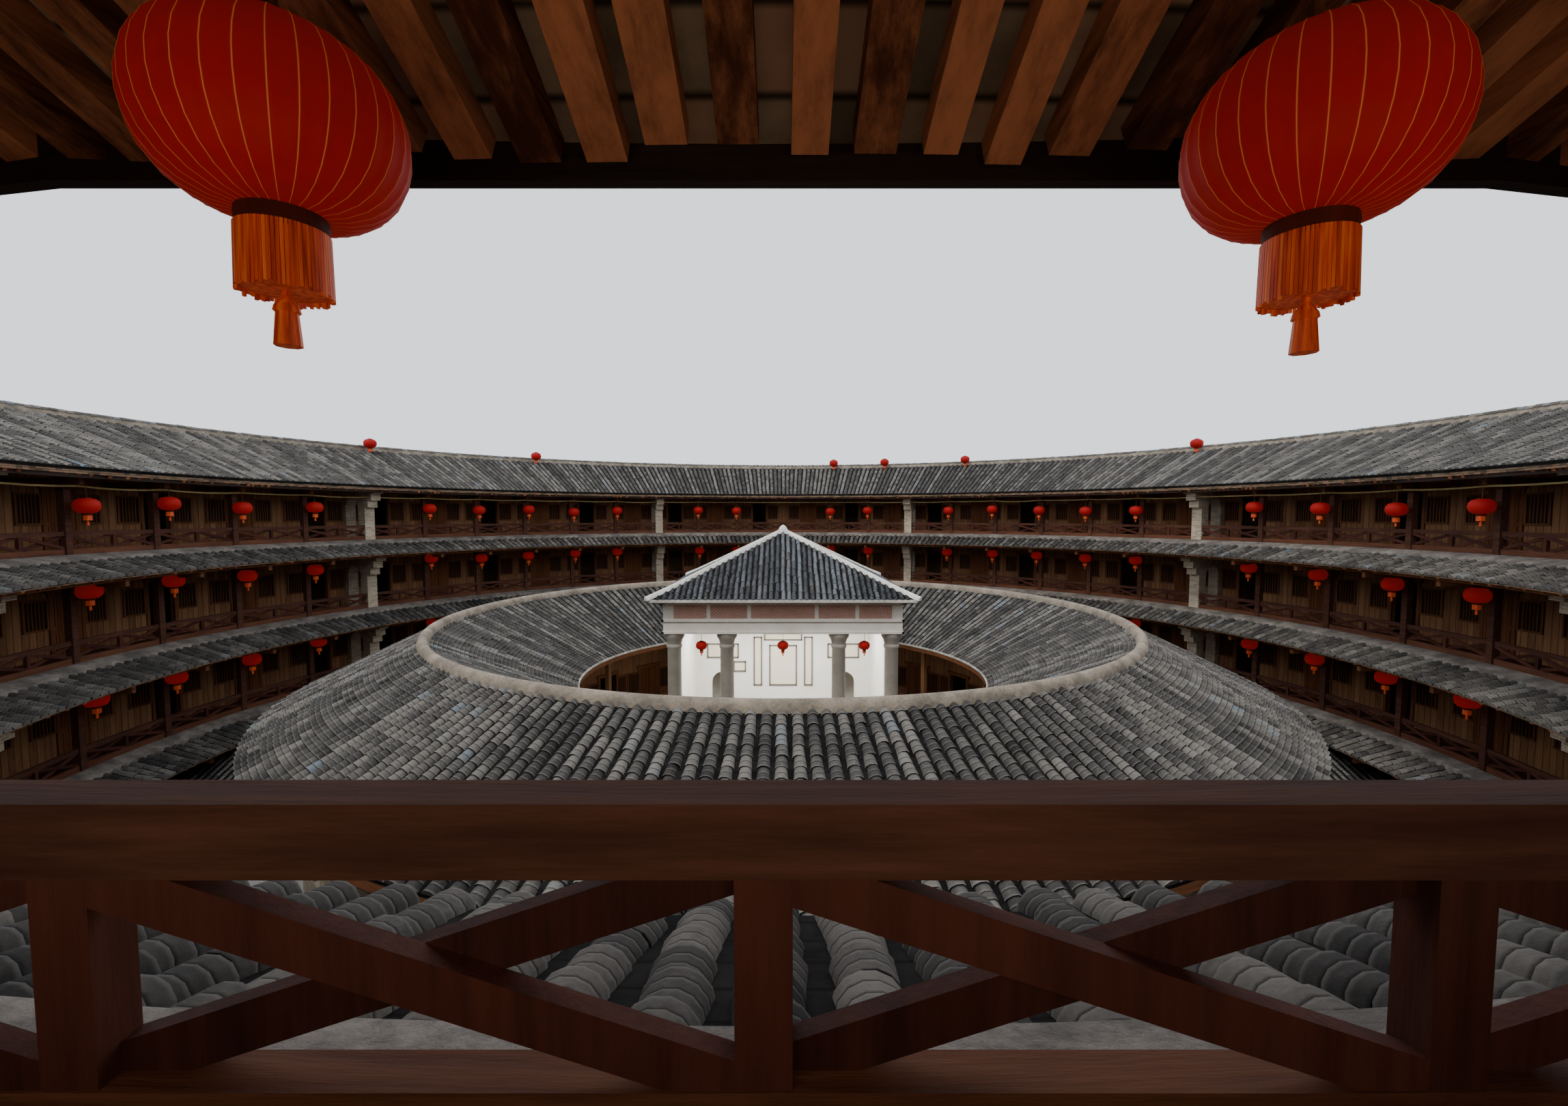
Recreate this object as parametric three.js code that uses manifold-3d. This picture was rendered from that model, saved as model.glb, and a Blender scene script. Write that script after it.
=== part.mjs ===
// A round earth-walled clan house: an outer ring of four gallery storeys behind a rammed earth wall,
// a lower two-storey inner ring, and a square hall in the middle. Millimetres, +Z up, origin on the
// ground at the centre, the main gate towards -Y. Bearings are degrees from +Y (the rear) towards +X.
import * as THREE from "three";
import { mergeVertices } from "three/addons/utils/BufferGeometryUtils.js";
import Module from "manifold-3d";

const wasm = await Module();
wasm.setup();

// Scale: every length below is a length of the real house in metres, built at 1:2
const MM_PER_METRE = 500;
const GAP = 0.0007; // between neighbours that touch
const FLAT_ENOUGH = 0.0001; // corners that stand out by less than this are left out

// Outer ring: storeys
const FLOORS = [4.2, 7.4, 10.6]; // tops of the second, third and fourth floors
const FLOOR_THICK = 0.25;
const GROUND_AND_FLOORS = [0, ...FLOORS];

// Outer ring: earth wall, plinth and windows
const WALL_INNER = 27.1;
const WALL_OUTER_FOOT = 28.75;
const WALL_OUTER_TOP = 28.5;
const PLINTH_TOP = 0.95;
const PLINTH_OUTER = 28.9;
const WINDOW_WIDTH = 0.56;
const WINDOW_HEIGHT = 1.0;
const WINDOW_SILL = 11.6; // in the top storey
const WALL_TOP_LIMIT = 16; // over everything
const HAIR = 0.001; // degrees that keep neighbours round the ring apart
const TOP_STOREY_PIECES = { rear: [-8.5, 8.5], front: [166.5, 193.5] }; // bearings of bay ends

// Outer ring: gates
const SIDE_GATE = 87.5; // bearing of the side gates and of the links
const GATES = [
  { name: "front", bearing: 180, width: 2.2, height: 3.2, lining: 0.34 },
  { name: "right", bearing: SIDE_GATE, width: 1.6, height: 2.7, lining: 0.28 },
  { name: "left", bearing: -SIDE_GATE, width: 1.6, height: 2.7, lining: 0.28 },
];
const LINING_OUTER = 28.98;
const LINING_INNER = 27.04;

// Outer ring: main roof, by its top edge; the shell is ROOF_THICK deep
const ROOF_THICK = 0.2;
const MAIN_INNER_EAVE = [20.0, 13.15];
const MAIN_RIDGE = [24.8, 15.2];
const MAIN_OUTER_EAVE = [30.2, 12.77];
const RIDGE_HALF = 0.19;
const RIDGE_RISE = 0.26;

// Outer ring: galleries
const GALLERY_EDGE = 21.05;
const POST_RING = 21.11;
const POST_SIZE = 0.2;
const POST_FACE = POST_RING - POST_SIZE / 2; // what meets the galleries from the court ends here
const RAIL_TOP = 0.72;
const RAIL_DEEP = 0.13;
const RAIL_THICK = 0.1;
const ROOM_FRONT = 22.6;
const ROOM_FRONT_BACK = 22.72;
const DOOR_WIDTH = 0.9;
const DOOR_HEIGHT = 2.0;
const PASSAGE_WIDTH = 3.0;
const PASSAGE_HEIGHT = 3.4;

// Outer ring: pent roofs over the edge of each upper floor
const PENT_REACH = 1.65;
const PENT_DROP = 0.53;
const PENT_THICK = 0.14;

// Outer ring: units between fire walls. Every ring there has its corners on these lines, and a post
// stands on each line inside a unit but the bend in the middle of the wide rear bay.
const UNITS = [
  { name: "rear", from: -22.5, to: 22.5, lines: [-15.5, -8.5, 0, 8.5, 15.5] },
  { name: "rear_right", from: 22.5, to: 67.5, lines: [30, 37.5, 45, 52.5, 60] },
  { name: "right", from: 67.5, to: 107.5, lines: [75.5, 83.5, 91.5, 99.5] },
  { name: "front_right", from: 107.5, to: 152.5, lines: [115, 122.5, 130, 137.5, 145] },
  { name: "front", from: 152.5, to: 207.5, lines: [159.5, 166.5, 173.5, 186.5, 193.5, 200.5] },
  { name: "front_left", from: 207.5, to: 252.5, lines: [215, 222.5, 230, 237.5, 245] },
  { name: "left", from: 252.5, to: 292.5, lines: [260.5, 268.5, 276.5, 284.5] },
  { name: "rear_left", from: 292.5, to: 337.5, lines: [300, 307.5, 315, 322.5, 330] },
];
const BEND_WITHOUT_POST = 0;
const OUTER_CORNERS = UNITS.flatMap(({ from, lines }) => [from, ...lines]);
const FIRE_WALL_THICK = 0.46;
const FIRE_WALL_FACE = 21.0;
const FIRE_DOOR_MIDDLE = 21.9;
const FIRE_DOOR_WIDTH = 0.86;
const FIRE_DOOR_HEIGHT = 2.05;
const CORBEL_STEPS = 4;
const CORBEL_REACH = 0.9;
const CORBEL_DEEP = 1.3;

// Inner ring
const INNER_ROOF_THICK = 0.18;
const INNER_OUTER_EAVE = [14.5, 6.66];
const INNER_RIDGE = [10.9, 8.39];
const INNER_INNER_EAVE = [6.8, 6.4];
const INNER_RIDGE_HALF = 0.24;
const INNER_RIDGE_RISE = 0.24;
const INNER_WALL = [13.1, 13.5];
const INNER_FLOOR = 3.1;
const INNER_FLOOR_THICK = 0.22;
const INNER_EDGE = 7.35;
const INNER_POST_RING = 7.46;
const INNER_POST_SIZE = 0.17;
const INNER_FRONT = 8.5;
const INNER_FRONT_THICK = 0.12;
const INNER_RAIL_TOP = 0.95;
const INNER_SIDES = 24; // a post stands on every other corner, a door opens in every other side
const INNER_DOOR = { width: 1.7, height: 2.6 };
const INNER_CORNERS = Array.from({ length: INNER_SIDES }, (_, i) => (360 * (i + 0.5)) / INNER_SIDES);

// Links between the rings
const LINK_HALF_WIDTH = 1.75;
const LINK_EAVE = 2.6;
const LINK_RIDGE = 3.36;
const LINK_ROOF_THICK = 0.14;
const LINK_POST_SIZE = 0.2;
const LINK_POSTS_AT = [14.9, 17.3, 19.7];

// Hall
const HALL_MIDDLE_Y = 1.2;
const PLATFORM_HALF = 4.15;
const PLATFORM_TOP = 0.5;
const HALL_HALF = 3.69;
const HALL_WALL_THICK = 0.3;
const COLUMN_RADIUS = 0.23;
const COLUMNS_AT = [-3.4, -1.75, 1.75, 3.4];
const COLUMN_LINE = 3.4; // in front of the hall's middle
const LINTEL_BOTTOM = 8.14;
const CORNICE_BOTTOM = 9.1;
const HALL_EAVE = 9.23;
const HALL_APEX = 11.22;
const HALL_EAVE_HALF = 4.05;
const CORNICE_HALF = 3.9;
const LINTEL_THICK = 0.46;
const HALL_ROOF_THICK = 0.2; // measured upright
const SCREEN_BACK = 1.9; // behind the hall's middle
const SCREEN_THICK = 0.16;
const SCREEN_DOOR = { at: 2.4, width: 0.85, height: 5.1 };

const FINISH = {
  earth: { color: 0xc9b184, roughness: 0.95 },
  stone: { color: 0x8f8c84, roughness: 0.9 },
  brick: { color: 0xa39a8a, roughness: 0.92 },
  timber: { color: 0x5a3a28, roughness: 0.75 },
  tile: { color: 0x5b5f63, roughness: 0.85 },
  ridge: { color: 0xbdb9ae, roughness: 0.9 },
  plaster: { color: 0xe6e1d4, roughness: 0.85 },
};

const radians = (degrees) => (degrees * Math.PI) / 180;

// A closed geometry as a solid that points outwards
function toSolid(geometry) {
  const bare = new THREE.BufferGeometry();
  bare.setAttribute("position", geometry.getAttribute("position"));
  if (geometry.index) bare.setIndex(geometry.index);
  const merged = mergeVertices(bare, 1e-5);
  const corners = new Uint32Array(merged.index.array);
  const vertProperties = merged.attributes.position.array;
  const build = () => new wasm.Manifold(new wasm.Mesh({ numProp: 3, vertProperties, triVerts: corners }));
  const first = build();
  if (first.volume() > 0) return first;
  for (let i = 0; i < corners.length; i += 3)
    [corners[i + 1], corners[i + 2]] = [corners[i + 2], corners[i + 1]];
  return build();
}

const join = (solids) => solids.reduce((whole, next) => whole.add(next));

// A ring turned from a closed outline of [radius, height] points, with its corners on the bearings
function ring(outline, bearings) {
  const points = [...outline, outline[0]].map(([radius, height]) => new THREE.Vector2(radius, height));
  const lathe = new THREE.LatheGeometry(points, bearings.length);
  const place = lathe.getAttribute("position");
  for (let i = 0; i < place.count; i += 1) {
    const { x: radius, y: height } = points[i % points.length];
    const bearing = radians(bearings[Math.floor(i / points.length) % bearings.length]);
    place.setXYZ(i, radius * Math.sin(bearing), radius * Math.cos(bearing), height);
  }
  return toSolid(lathe);
}

// A level prism from an outline of [x, y] points
function slab(outline, bottom, top) {
  const shape = new THREE.Shape(outline.map(([x, y]) => new THREE.Vector2(x, y)));
  const solid = new THREE.ExtrudeGeometry(shape, { depth: top - bottom, bevelEnabled: false });
  return toSolid(solid.translate(0, 0, bottom));
}

// Everything between two bearings
function wedge(from, to) {
  const reach = 45;
  const height = 20;
  const steps = Math.ceil((to - from) / 30);
  const rim = Array.from({ length: steps + 1 }, (_, i) => radians(from + ((to - from) * i) / steps));
  return slab([[0, 0], ...rim.map((a) => [reach * Math.sin(a), reach * Math.cos(a)])], -1, height);
}

// Everything between two heights
function layer(bottom, top) {
  const reach = 45;
  return slab([[-reach, -reach], [reach, -reach], [reach, reach], [-reach, reach]], bottom, top);
}

// A geometry drawn at bearing 0 is turned to its own bearing
const turned = (geometry, bearing) => toSolid(geometry.rotateZ(-radians(bearing)));

// A box across a bearing, aside metres to its clockwise side
function block(bearing, near, far, width, bottom, top, aside = 0) {
  const box = new THREE.BoxGeometry(width, far - near, top - bottom);
  return turned(box.translate(aside, (near + far) / 2, (bottom + top) / 2), bearing);
}

// A straight timber from one bearing to the next at one radius
function timber(from, to, radius, thick, bottom, top) {
  const half = radians((to - from) / 2);
  const middle = radius * Math.cos(half);
  const length = 2 * radius * Math.sin(half);
  return block((from + to) / 2, middle - thick / 2, middle + thick / 2, length, bottom, top);
}

// The outline of a round-headed opening, upright, centred on x = middle
function archShape(middle, width, bottom, height) {
  const half = width / 2;
  const spring = bottom + height - half;
  const shape = new THREE.Shape();
  shape.moveTo(middle - half, bottom);
  shape.lineTo(middle + half, bottom);
  shape.lineTo(middle + half, spring);
  shape.absarc(middle, spring, half, 0, Math.PI, false);
  return shape;
}

// A round-headed passage along a bearing, from one radius to another
function archway(bearing, near, far, width, bottom, height) {
  const options = { depth: far - near, bevelEnabled: false, curveSegments: 5 };
  const solid = new THREE.ExtrudeGeometry(archShape(0, width, bottom, height), options);
  return turned(solid.rotateX(Math.PI / 2).translate(0, far, 0), bearing);
}

// An upright plate whose outline is [radius, height], centred on a bearing
function radialPlate(bearing, outline, thick) {
  const shape = new THREE.Shape(outline.map(([radius, height]) => new THREE.Vector2(radius, height)));
  const solid = new THREE.ExtrudeGeometry(shape, { depth: thick, bevelEnabled: false });
  solid.rotateX(Math.PI / 2).rotateZ(Math.PI / 2);
  return turned(solid.translate(-thick / 2, 0, 0), bearing);
}

const house = new THREE.Group();

// A solid becomes a named piece of the house
function piece(name, solid, finish) {
  const found = solid.asOriginal().simplify(FLAT_ENOUGH).getMesh();
  const geometry = new THREE.BufferGeometry();
  geometry.setAttribute("position", new THREE.BufferAttribute(found.vertProperties, 3));
  geometry.setIndex(new THREE.BufferAttribute(found.triVerts, 1));
  geometry.scale(MM_PER_METRE, MM_PER_METRE, MM_PER_METRE);
  const mesh = new THREE.Mesh(geometry, new THREE.MeshStandardMaterial({ metalness: 0, ...finish }));
  mesh.name = name;
  house.add(mesh);
}

// One slope of a ring roof, from its eave to just short of the ridge
function roofSlope(eave, ridge, thick, bearings) {
  const short = Math.sign(eave[0] - ridge[0]) * GAP;
  const top = [ridge[0] + short, ridge[1]];
  const lowered = ([radius, height]) => [radius, height - thick];
  return ring([eave, top, lowered(top), lowered(eave)], bearings);
}

// The space below a roof shell, from the ground to just under it
function spaceUnder([innerEave, ridge, outerEave], thick, bearings, outerLimit) {
  const down = thick + GAP;
  const slope = (outerEave[1] - ridge[1]) / (outerEave[0] - ridge[0]);
  const limitHeight = ridge[1] + slope * (outerLimit - ridge[0]) - down;
  const outline = [
    [innerEave[0], 0],
    [outerLimit, 0],
    [outerLimit, limitHeight],
    [ridge[0], ridge[1] - down],
    [innerEave[0], innerEave[1] - down],
  ];
  return ring(outline, bearings);
}

// A ridge cap that rides on a ring roof
function ridgeCap([radius, height], half, rise, bearings) {
  const outline = [
    [radius - half, height + GAP],
    [radius + half, height + GAP],
    [radius + 0.6 * half, height + rise],
    [radius - 0.6 * half, height + rise],
  ];
  return ring(outline, bearings);
}

const steepness = (low, high) => Math.abs((high[1] - low[1]) / (high[0] - low[0]));

// Bays of a unit: the bearing of each middle and the bearings of its two sides
function baysOf(unit) {
  const lines = [unit.from, ...unit.lines, unit.to];
  return lines.slice(1).map((to, i) => ({ from: lines[i], to, middle: (lines[i] + to) / 2 }));
}

const mainProfile = [MAIN_INNER_EAVE, MAIN_RIDGE, MAIN_OUTER_EAVE];
const mainOuterSlope = steepness(MAIN_OUTER_EAVE, MAIN_RIDGE);
const underMainRoof = spaceUnder(mainProfile, ROOF_THICK, OUTER_CORNERS, WALL_INNER - GAP);
const heightUnderMainRoof = (radius) =>
  MAIN_RIDGE[1] - mainOuterSlope * (radius - MAIN_RIDGE[0]) - ROOF_THICK - GAP;

// Earth wall in quarters on its stone plinth, with gates and a row of windows in the top storey. The top storey
// over the main gate and opposite it is a piece of its own on each side
function buildEarthWall() {
  const wallRing = ring(
    [
      [WALL_INNER, PLINTH_TOP + GAP],
      [WALL_OUTER_FOOT, PLINTH_TOP + GAP],
      [WALL_OUTER_TOP, heightUnderMainRoof(WALL_OUTER_TOP)],
      [WALL_INNER, heightUnderMainRoof(WALL_INNER)],
    ],
    OUTER_CORNERS,
  );
  const plinthRing = ring(
    [
      [WALL_INNER, 0],
      [PLINTH_OUTER, 0],
      [PLINTH_OUTER, PLINTH_TOP],
      [WALL_INNER, PLINTH_TOP],
    ],
    OUTER_CORNERS,
  );
  const through = [WALL_INNER - 1, PLINTH_OUTER + 1];
  const gateCuts = GATES.map(({ bearing, width, height, lining }) =>
    block(bearing, ...through, width + 2 * (lining + GAP), -1, height + lining + GAP),
  );
  const windowCuts = UNITS.flatMap(baysOf).map(({ middle }) =>
    block(middle, ...through, WINDOW_WIDTH, WINDOW_SILL, WINDOW_SILL + WINDOW_HEIGHT),
  );
  const openWall = wallRing.subtract(join([...gateCuts, ...windowCuts]));
  const openPlinth = plinthRing.subtract(join(gateCuts));
  const topStoreys = Object.entries(TOP_STOREY_PIECES).map(([side, [from, to]]) => {
    const top = wedge(from, to).intersect(layer(FLOORS[2], WALL_TOP_LIMIT));
    piece(`earth_wall_${side}_top`, openWall.intersect(top), FINISH.earth);
    return wedge(from - HAIR, to + HAIR).intersect(layer(FLOORS[2] - GAP, WALL_TOP_LIMIT));
  });
  const lowerWall = openWall.subtract(join(topStoreys));
  ["rear", "right", "front", "left"].forEach((side, i) => {
    const middle = 90 * i;
    const quarter = wedge(middle - 45 + HAIR, middle + 45 - HAIR);
    piece(`earth_wall_${side}`, lowerWall.intersect(quarter), FINISH.earth);
  });
  const plinthArcs = { rear: [-90, 90], front_right: [87, 180], front_left: [180, 273] };
  for (const [side, [from, to]] of Object.entries(plinthArcs)) {
    const arc = openPlinth.intersect(wedge(from, to)).decompose();
    const largest = arc.reduce((best, next) => (next.volume() > best.volume() ? next : best));
    piece(`stone_plinth_${side}`, largest, FINISH.stone);
  }
}

// Stone lining of each gate, from the court side of the wall to a little in front of it
function buildGates() {
  for (const { name, bearing, width, height, lining } of GATES) {
    const body = block(bearing, LINING_INNER, LINING_OUTER, width + 2 * lining, 0, height + lining);
    const opening = archway(bearing, LINING_INNER - 1, LINING_OUTER + 1, width, -1, height + 1);
    piece(`gate_surround_${name}`, body.subtract(opening), FINISH.stone);
  }
}

// Outline of a pent roof whose top meets the edge of a floor; grown widens it for cutting
function pentOutline(floor, grown = 0) {
  const top = floor - 0.02;
  const inner = POST_FACE - GAP;
  const tip = inner - PENT_REACH;
  return [
    [inner + grown, top + grown],
    [tip - grown, top - PENT_DROP + grown],
    [tip - grown, top - PENT_DROP - PENT_THICK - grown],
    [inner + grown, top - PENT_THICK - grown],
  ];
}

function buildPentRoofs() {
  FLOORS.forEach((floor, i) => {
    piece(`pent_roof_${i + 2}`, ring(pentOutline(floor), OUTER_CORNERS), FINISH.tile);
  });
}

// Radial brick wall with stepped heads under each pent roof and the eave, and a round-headed
// doorway on each gallery
function buildFireWalls() {
  const heads = [...FLOORS.map((floor) => floor - 0.3), MAIN_INNER_EAVE[1] + 0.3];
  const outline = [[WALL_INNER + 1, 0], [WALL_INNER + 1, 16], [FIRE_WALL_FACE, 16]];
  for (const head of [...heads].reverse()) {
    outline.push([FIRE_WALL_FACE, head + 0.45], [FIRE_WALL_FACE - CORBEL_REACH, head + 0.45]);
    for (let step = CORBEL_STEPS; step > 0; step -= 1) {
      const reach = (CORBEL_REACH * step) / CORBEL_STEPS;
      const nextReach = (CORBEL_REACH * (step - 1)) / CORBEL_STEPS;
      const foot = head - (CORBEL_DEEP * (CORBEL_STEPS + 1 - step)) / CORBEL_STEPS;
      outline.push([FIRE_WALL_FACE - reach, foot], [FIRE_WALL_FACE - nextReach, foot]);
    }
  }
  outline.push([FIRE_WALL_FACE, 0]);
  const grown = 2 * GAP;
  const pentCuts = FLOORS.map((floor) => {
    const [inner, tip, tipLow, innerLow] = pentOutline(floor, grown);
    const above = 0.6;
    return ring([[inner[0], inner[1] + above], [tip[0], tip[1] + above], tipLow, innerLow], OUTER_CORNERS);
  });
  UNITS.forEach(({ to }, i) => {
    const doors = GROUND_AND_FLOORS.map((floor) => {
      const middle = FIRE_DOOR_MIDDLE;
      const below = floor === 0 ? 1 : 0;
      const shape = archShape(middle, FIRE_DOOR_WIDTH, floor - below, FIRE_DOOR_HEIGHT + below);
      const options = { depth: 2, bevelEnabled: false, curveSegments: 2 };
      const cut = new THREE.ExtrudeGeometry(shape, options).rotateX(Math.PI / 2).rotateZ(Math.PI / 2);
      return turned(cut.translate(-1, 0, 0), to);
    });
    const wall = radialPlate(to, outline, FIRE_WALL_THICK)
      .intersect(underMainRoof)
      .subtract(join([...doors, ...pentCuts]));
    piece(`fire_wall_${i + 1}`, wall, FINISH.brick);
  });
}

// Each unit between two fire walls: the gallery with its three floors, posts and rails, and the rooms
// behind it, with their floors and a doorway in every other bay of their fronts
function buildGalleries() {
  const floorRings = (near, far) =>
    FLOORS.map((floor) => {
      const low = floor - FLOOR_THICK;
      return ring([[near, low], [far, low], [far, floor], [near, floor]], OUTER_CORNERS);
    });
  const walks = floorRings(GALLERY_EDGE, ROOM_FRONT - GAP);
  const roomFloors = floorRings(ROOM_FRONT, WALL_INNER - GAP);
  const tall = 16;
  const frontOutline = [[ROOM_FRONT, 0], [ROOM_FRONT_BACK, 0], [ROOM_FRONT_BACK, tall], [ROOM_FRONT, tall]];
  const frontRing = ring(frontOutline, OUTER_CORNERS);
  const through = [ROOM_FRONT - 0.7, ROOM_FRONT + 0.5];
  for (const unit of UNITS) {
    const bays = baysOf(unit);
    const doorBays = bays.filter((_, i) => i % 2 === 0);
    const doors = doorBays.flatMap(({ middle }) =>
      GROUND_AND_FLOORS.map((floor) =>
        block(middle, ...through, DOOR_WIDTH, floor === 0 ? -1 : floor, floor + DOOR_HEIGHT),
      ),
    );
    const passages = GATES.filter(({ bearing }) => bays.some(({ middle }) => (bearing - middle) % 360 === 0));
    for (const { bearing } of passages)
      doors.push(block(bearing, ...through, PASSAGE_WIDTH, -1, PASSAGE_HEIGHT));
    const roomFront = frontRing.subtract(join(doors));
    const postLines = unit.lines.filter((at) => at !== BEND_WITHOUT_POST);
    const posts = postLines.map((at) => block(at, POST_FACE, POST_FACE + POST_SIZE, POST_SIZE, 0, tall));
    const rails = bays.flatMap(({ from, to }) =>
      FLOORS.map((floor) => {
        const top = floor + RAIL_TOP;
        return timber(from, to, POST_RING, RAIL_THICK, top - RAIL_DEEP, top);
      }),
    );
    const ends = [unit.from, unit.to].map((at) =>
      block(at, FIRE_WALL_FACE - 2, WALL_INNER + 1, FIRE_WALL_THICK + 2 * GAP, -1, tall + 1),
    );
    const fitted = (solid) =>
      solid.intersect(wedge(unit.from, unit.to)).intersect(underMainRoof).subtract(join(ends));
    piece(`gallery_${unit.name}`, fitted(join([...walks, ...posts, ...rails])), FINISH.timber);
    piece(`rooms_${unit.name}`, fitted(join([...roomFloors, roomFront])), FINISH.timber);
  }
}

function buildMainRoof() {
  const slopes = { inner: MAIN_INNER_EAVE, outer: MAIN_OUTER_EAVE };
  for (const [side, eave] of Object.entries(slopes))
    piece(`main_roof_${side}`, roofSlope(eave, MAIN_RIDGE, ROOF_THICK, OUTER_CORNERS), FINISH.tile);
  const cap = ridgeCap(MAIN_RIDGE, RIDGE_HALF, RIDGE_RISE, OUTER_CORNERS);
  piece("main_ridge", cap, FINISH.ridge);
}

// Lower ring round the hall: brick outer wall, timber gallery on the court side, ring roof
function buildInnerRing() {
  const profile = [INNER_INNER_EAVE, INNER_RIDGE, INNER_OUTER_EAVE];
  const under = spaceUnder(profile, INNER_ROOF_THICK, INNER_CORNERS, INNER_OUTER_EAVE[0]);
  const tall = 10;
  const [wallNear, wallFar] = INNER_WALL;
  const brick = ring([[wallNear, 0], [wallFar, 0], [wallFar, tall], [wallNear, tall]], INNER_CORNERS);
  const doorBearings = [0, SIDE_GATE, 180, -SIDE_GATE];
  const doorCuts = doorBearings.map((at) =>
    archway(at, wallNear - 1, wallFar + 1, INNER_DOOR.width, -1, INNER_DOOR.height + 1),
  );
  const windowCuts = Array.from({ length: INNER_SIDES / 2 }, (_, i) => 15 + 30 * i).map((at) => {
    const sill = INNER_FLOOR + 1.1;
    return block(at, wallNear - 1, wallFar + 1, 0.7, sill, sill + 0.8);
  });
  const openBrick = brick.intersect(under).subtract(join([...doorCuts, ...windowCuts]));

  const floorFar = wallNear - GAP;
  const floorLow = INNER_FLOOR - INNER_FLOOR_THICK;
  const outline = [
    [INNER_EDGE, floorLow],
    [floorFar, floorLow],
    [floorFar, INNER_FLOOR],
    [INNER_EDGE, INNER_FLOOR],
  ];
  const floor = ring(outline, INNER_CORNERS);
  const frontFar = INNER_FRONT + INNER_FRONT_THICK;
  const front = ring([[INNER_FRONT, 0], [frontFar, 0], [frontFar, tall], [INNER_FRONT, tall]], INNER_CORNERS);
  const step = 360 / INNER_SIDES;
  const bays = Array.from({ length: INNER_SIDES / 2 }, (_, i) => 2 * i * step);
  const frontCuts = bays.flatMap((at) => {
    const passage = at % 180 === 0;
    const width = passage ? INNER_DOOR.width : DOOR_WIDTH;
    const height = passage ? INNER_DOOR.height : DOOR_HEIGHT;
    return [
      block(at, INNER_FRONT - 0.5, frontFar + 0.5, width, -1, height),
      block(at, INNER_FRONT - 0.5, frontFar + 0.5, DOOR_WIDTH, INNER_FLOOR, INNER_FLOOR + DOOR_HEIGHT),
    ];
  });
  const postNear = INNER_POST_RING - INNER_POST_SIZE / 2;
  const postFar = postNear + INNER_POST_SIZE;
  const posts = bays.map((at) => block(at + step * 1.5, postNear, postFar, INNER_POST_SIZE, 0, tall));
  const railTop = INNER_FLOOR + INNER_RAIL_TOP;
  const rails = INNER_CORNERS.map((at) =>
    timber(at, at + step, INNER_POST_RING, 0.08, railTop - 0.1, railTop),
  );
  const gallery = join([floor, front.subtract(join(frontCuts)), ...posts, ...rails]).intersect(under);
  const halves = { right: wedge(0.01, 179.99), left: wedge(180.01, 359.99) };
  for (const [side, half] of Object.entries(halves)) {
    piece(`inner_wall_${side}`, openBrick.intersect(half), FINISH.brick);
    piece(`inner_gallery_${side}`, gallery.intersect(half), FINISH.timber);
  }
  for (const [side, eave] of [["inner", INNER_INNER_EAVE], ["outer", INNER_OUTER_EAVE]])
    piece(`inner_roof_${side}`, roofSlope(eave, INNER_RIDGE, INNER_ROOF_THICK, INNER_CORNERS), FINISH.tile);
  const cap = ridgeCap(INNER_RIDGE, INNER_RIDGE_HALF, INNER_RIDGE_RISE, INNER_CORNERS);
  piece("inner_ridge", cap, FINISH.ridge);
}

// Covered way from the inner ring to the galleries on each side: a gabled roof on posts
function buildLinks() {
  const near = INNER_WALL[0];
  const far = GALLERY_EDGE + 0.5;
  const limit = POST_FACE - GAP;
  const gable = new THREE.Shape([
    new THREE.Vector2(-LINK_HALF_WIDTH, LINK_EAVE),
    new THREE.Vector2(-LINK_HALF_WIDTH, LINK_EAVE - LINK_ROOF_THICK),
    new THREE.Vector2(0, LINK_RIDGE - LINK_ROOF_THICK),
    new THREE.Vector2(LINK_HALF_WIDTH, LINK_EAVE - LINK_ROOF_THICK),
    new THREE.Vector2(LINK_HALF_WIDTH, LINK_EAVE),
    new THREE.Vector2(0, LINK_RIDGE),
  ]);
  const start = INNER_WALL[1] + GAP;
  const clearOfWall = ring([[start, -1], [19, -1], [19, 6], [start, 6]], INNER_CORNERS);
  const clearOfGallery = ring([[18, -1], [limit, -1], [limit, 6], [18, 6]], OUTER_CORNERS);
  const between = clearOfWall.add(clearOfGallery);
  for (const [side, bearing] of [["right", SIDE_GATE], ["left", -SIDE_GATE]]) {
    const shell = new THREE.ExtrudeGeometry(gable, { depth: far - near, bevelEnabled: false });
    const roof = turned(shell.rotateX(Math.PI / 2).translate(0, far, 0), bearing);
    const lineAside = LINK_HALF_WIDTH - 0.35;
    const plateTop = LINK_EAVE + 0.12;
    const frames = [-lineAside, lineAside].flatMap((aside) => [
      block(bearing, near, far, LINK_POST_SIZE, plateTop - 0.24, plateTop - 0.05, aside),
      ...LINK_POSTS_AT.map((at) => {
        const half = LINK_POST_SIZE / 2;
        return block(bearing, at - half, at + half, LINK_POST_SIZE, 0, plateTop - 0.06, aside);
      }),
    ]);
    piece(`link_${side}`, join([roof, ...frames]).intersect(between), FINISH.timber);
  }
}

// A level box by its middle and half sizes
function hallBox(x, y, halfX, halfY, bottom, top) {
  const box = new THREE.BoxGeometry(2 * halfX, 2 * halfY, top - bottom);
  return toSolid(box.translate(x, HALL_MIDDLE_Y + y, (bottom + top) / 2));
}

// A square pyramid on the hall's middle
function pyramid(half, bottom, top) {
  const cone = new THREE.ConeGeometry(half * Math.SQRT2, top - bottom, 4, 1).rotateY(Math.PI / 4);
  return toSolid(cone.rotateX(Math.PI / 2).translate(0, HALL_MIDDLE_Y, (bottom + top) / 2));
}

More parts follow.
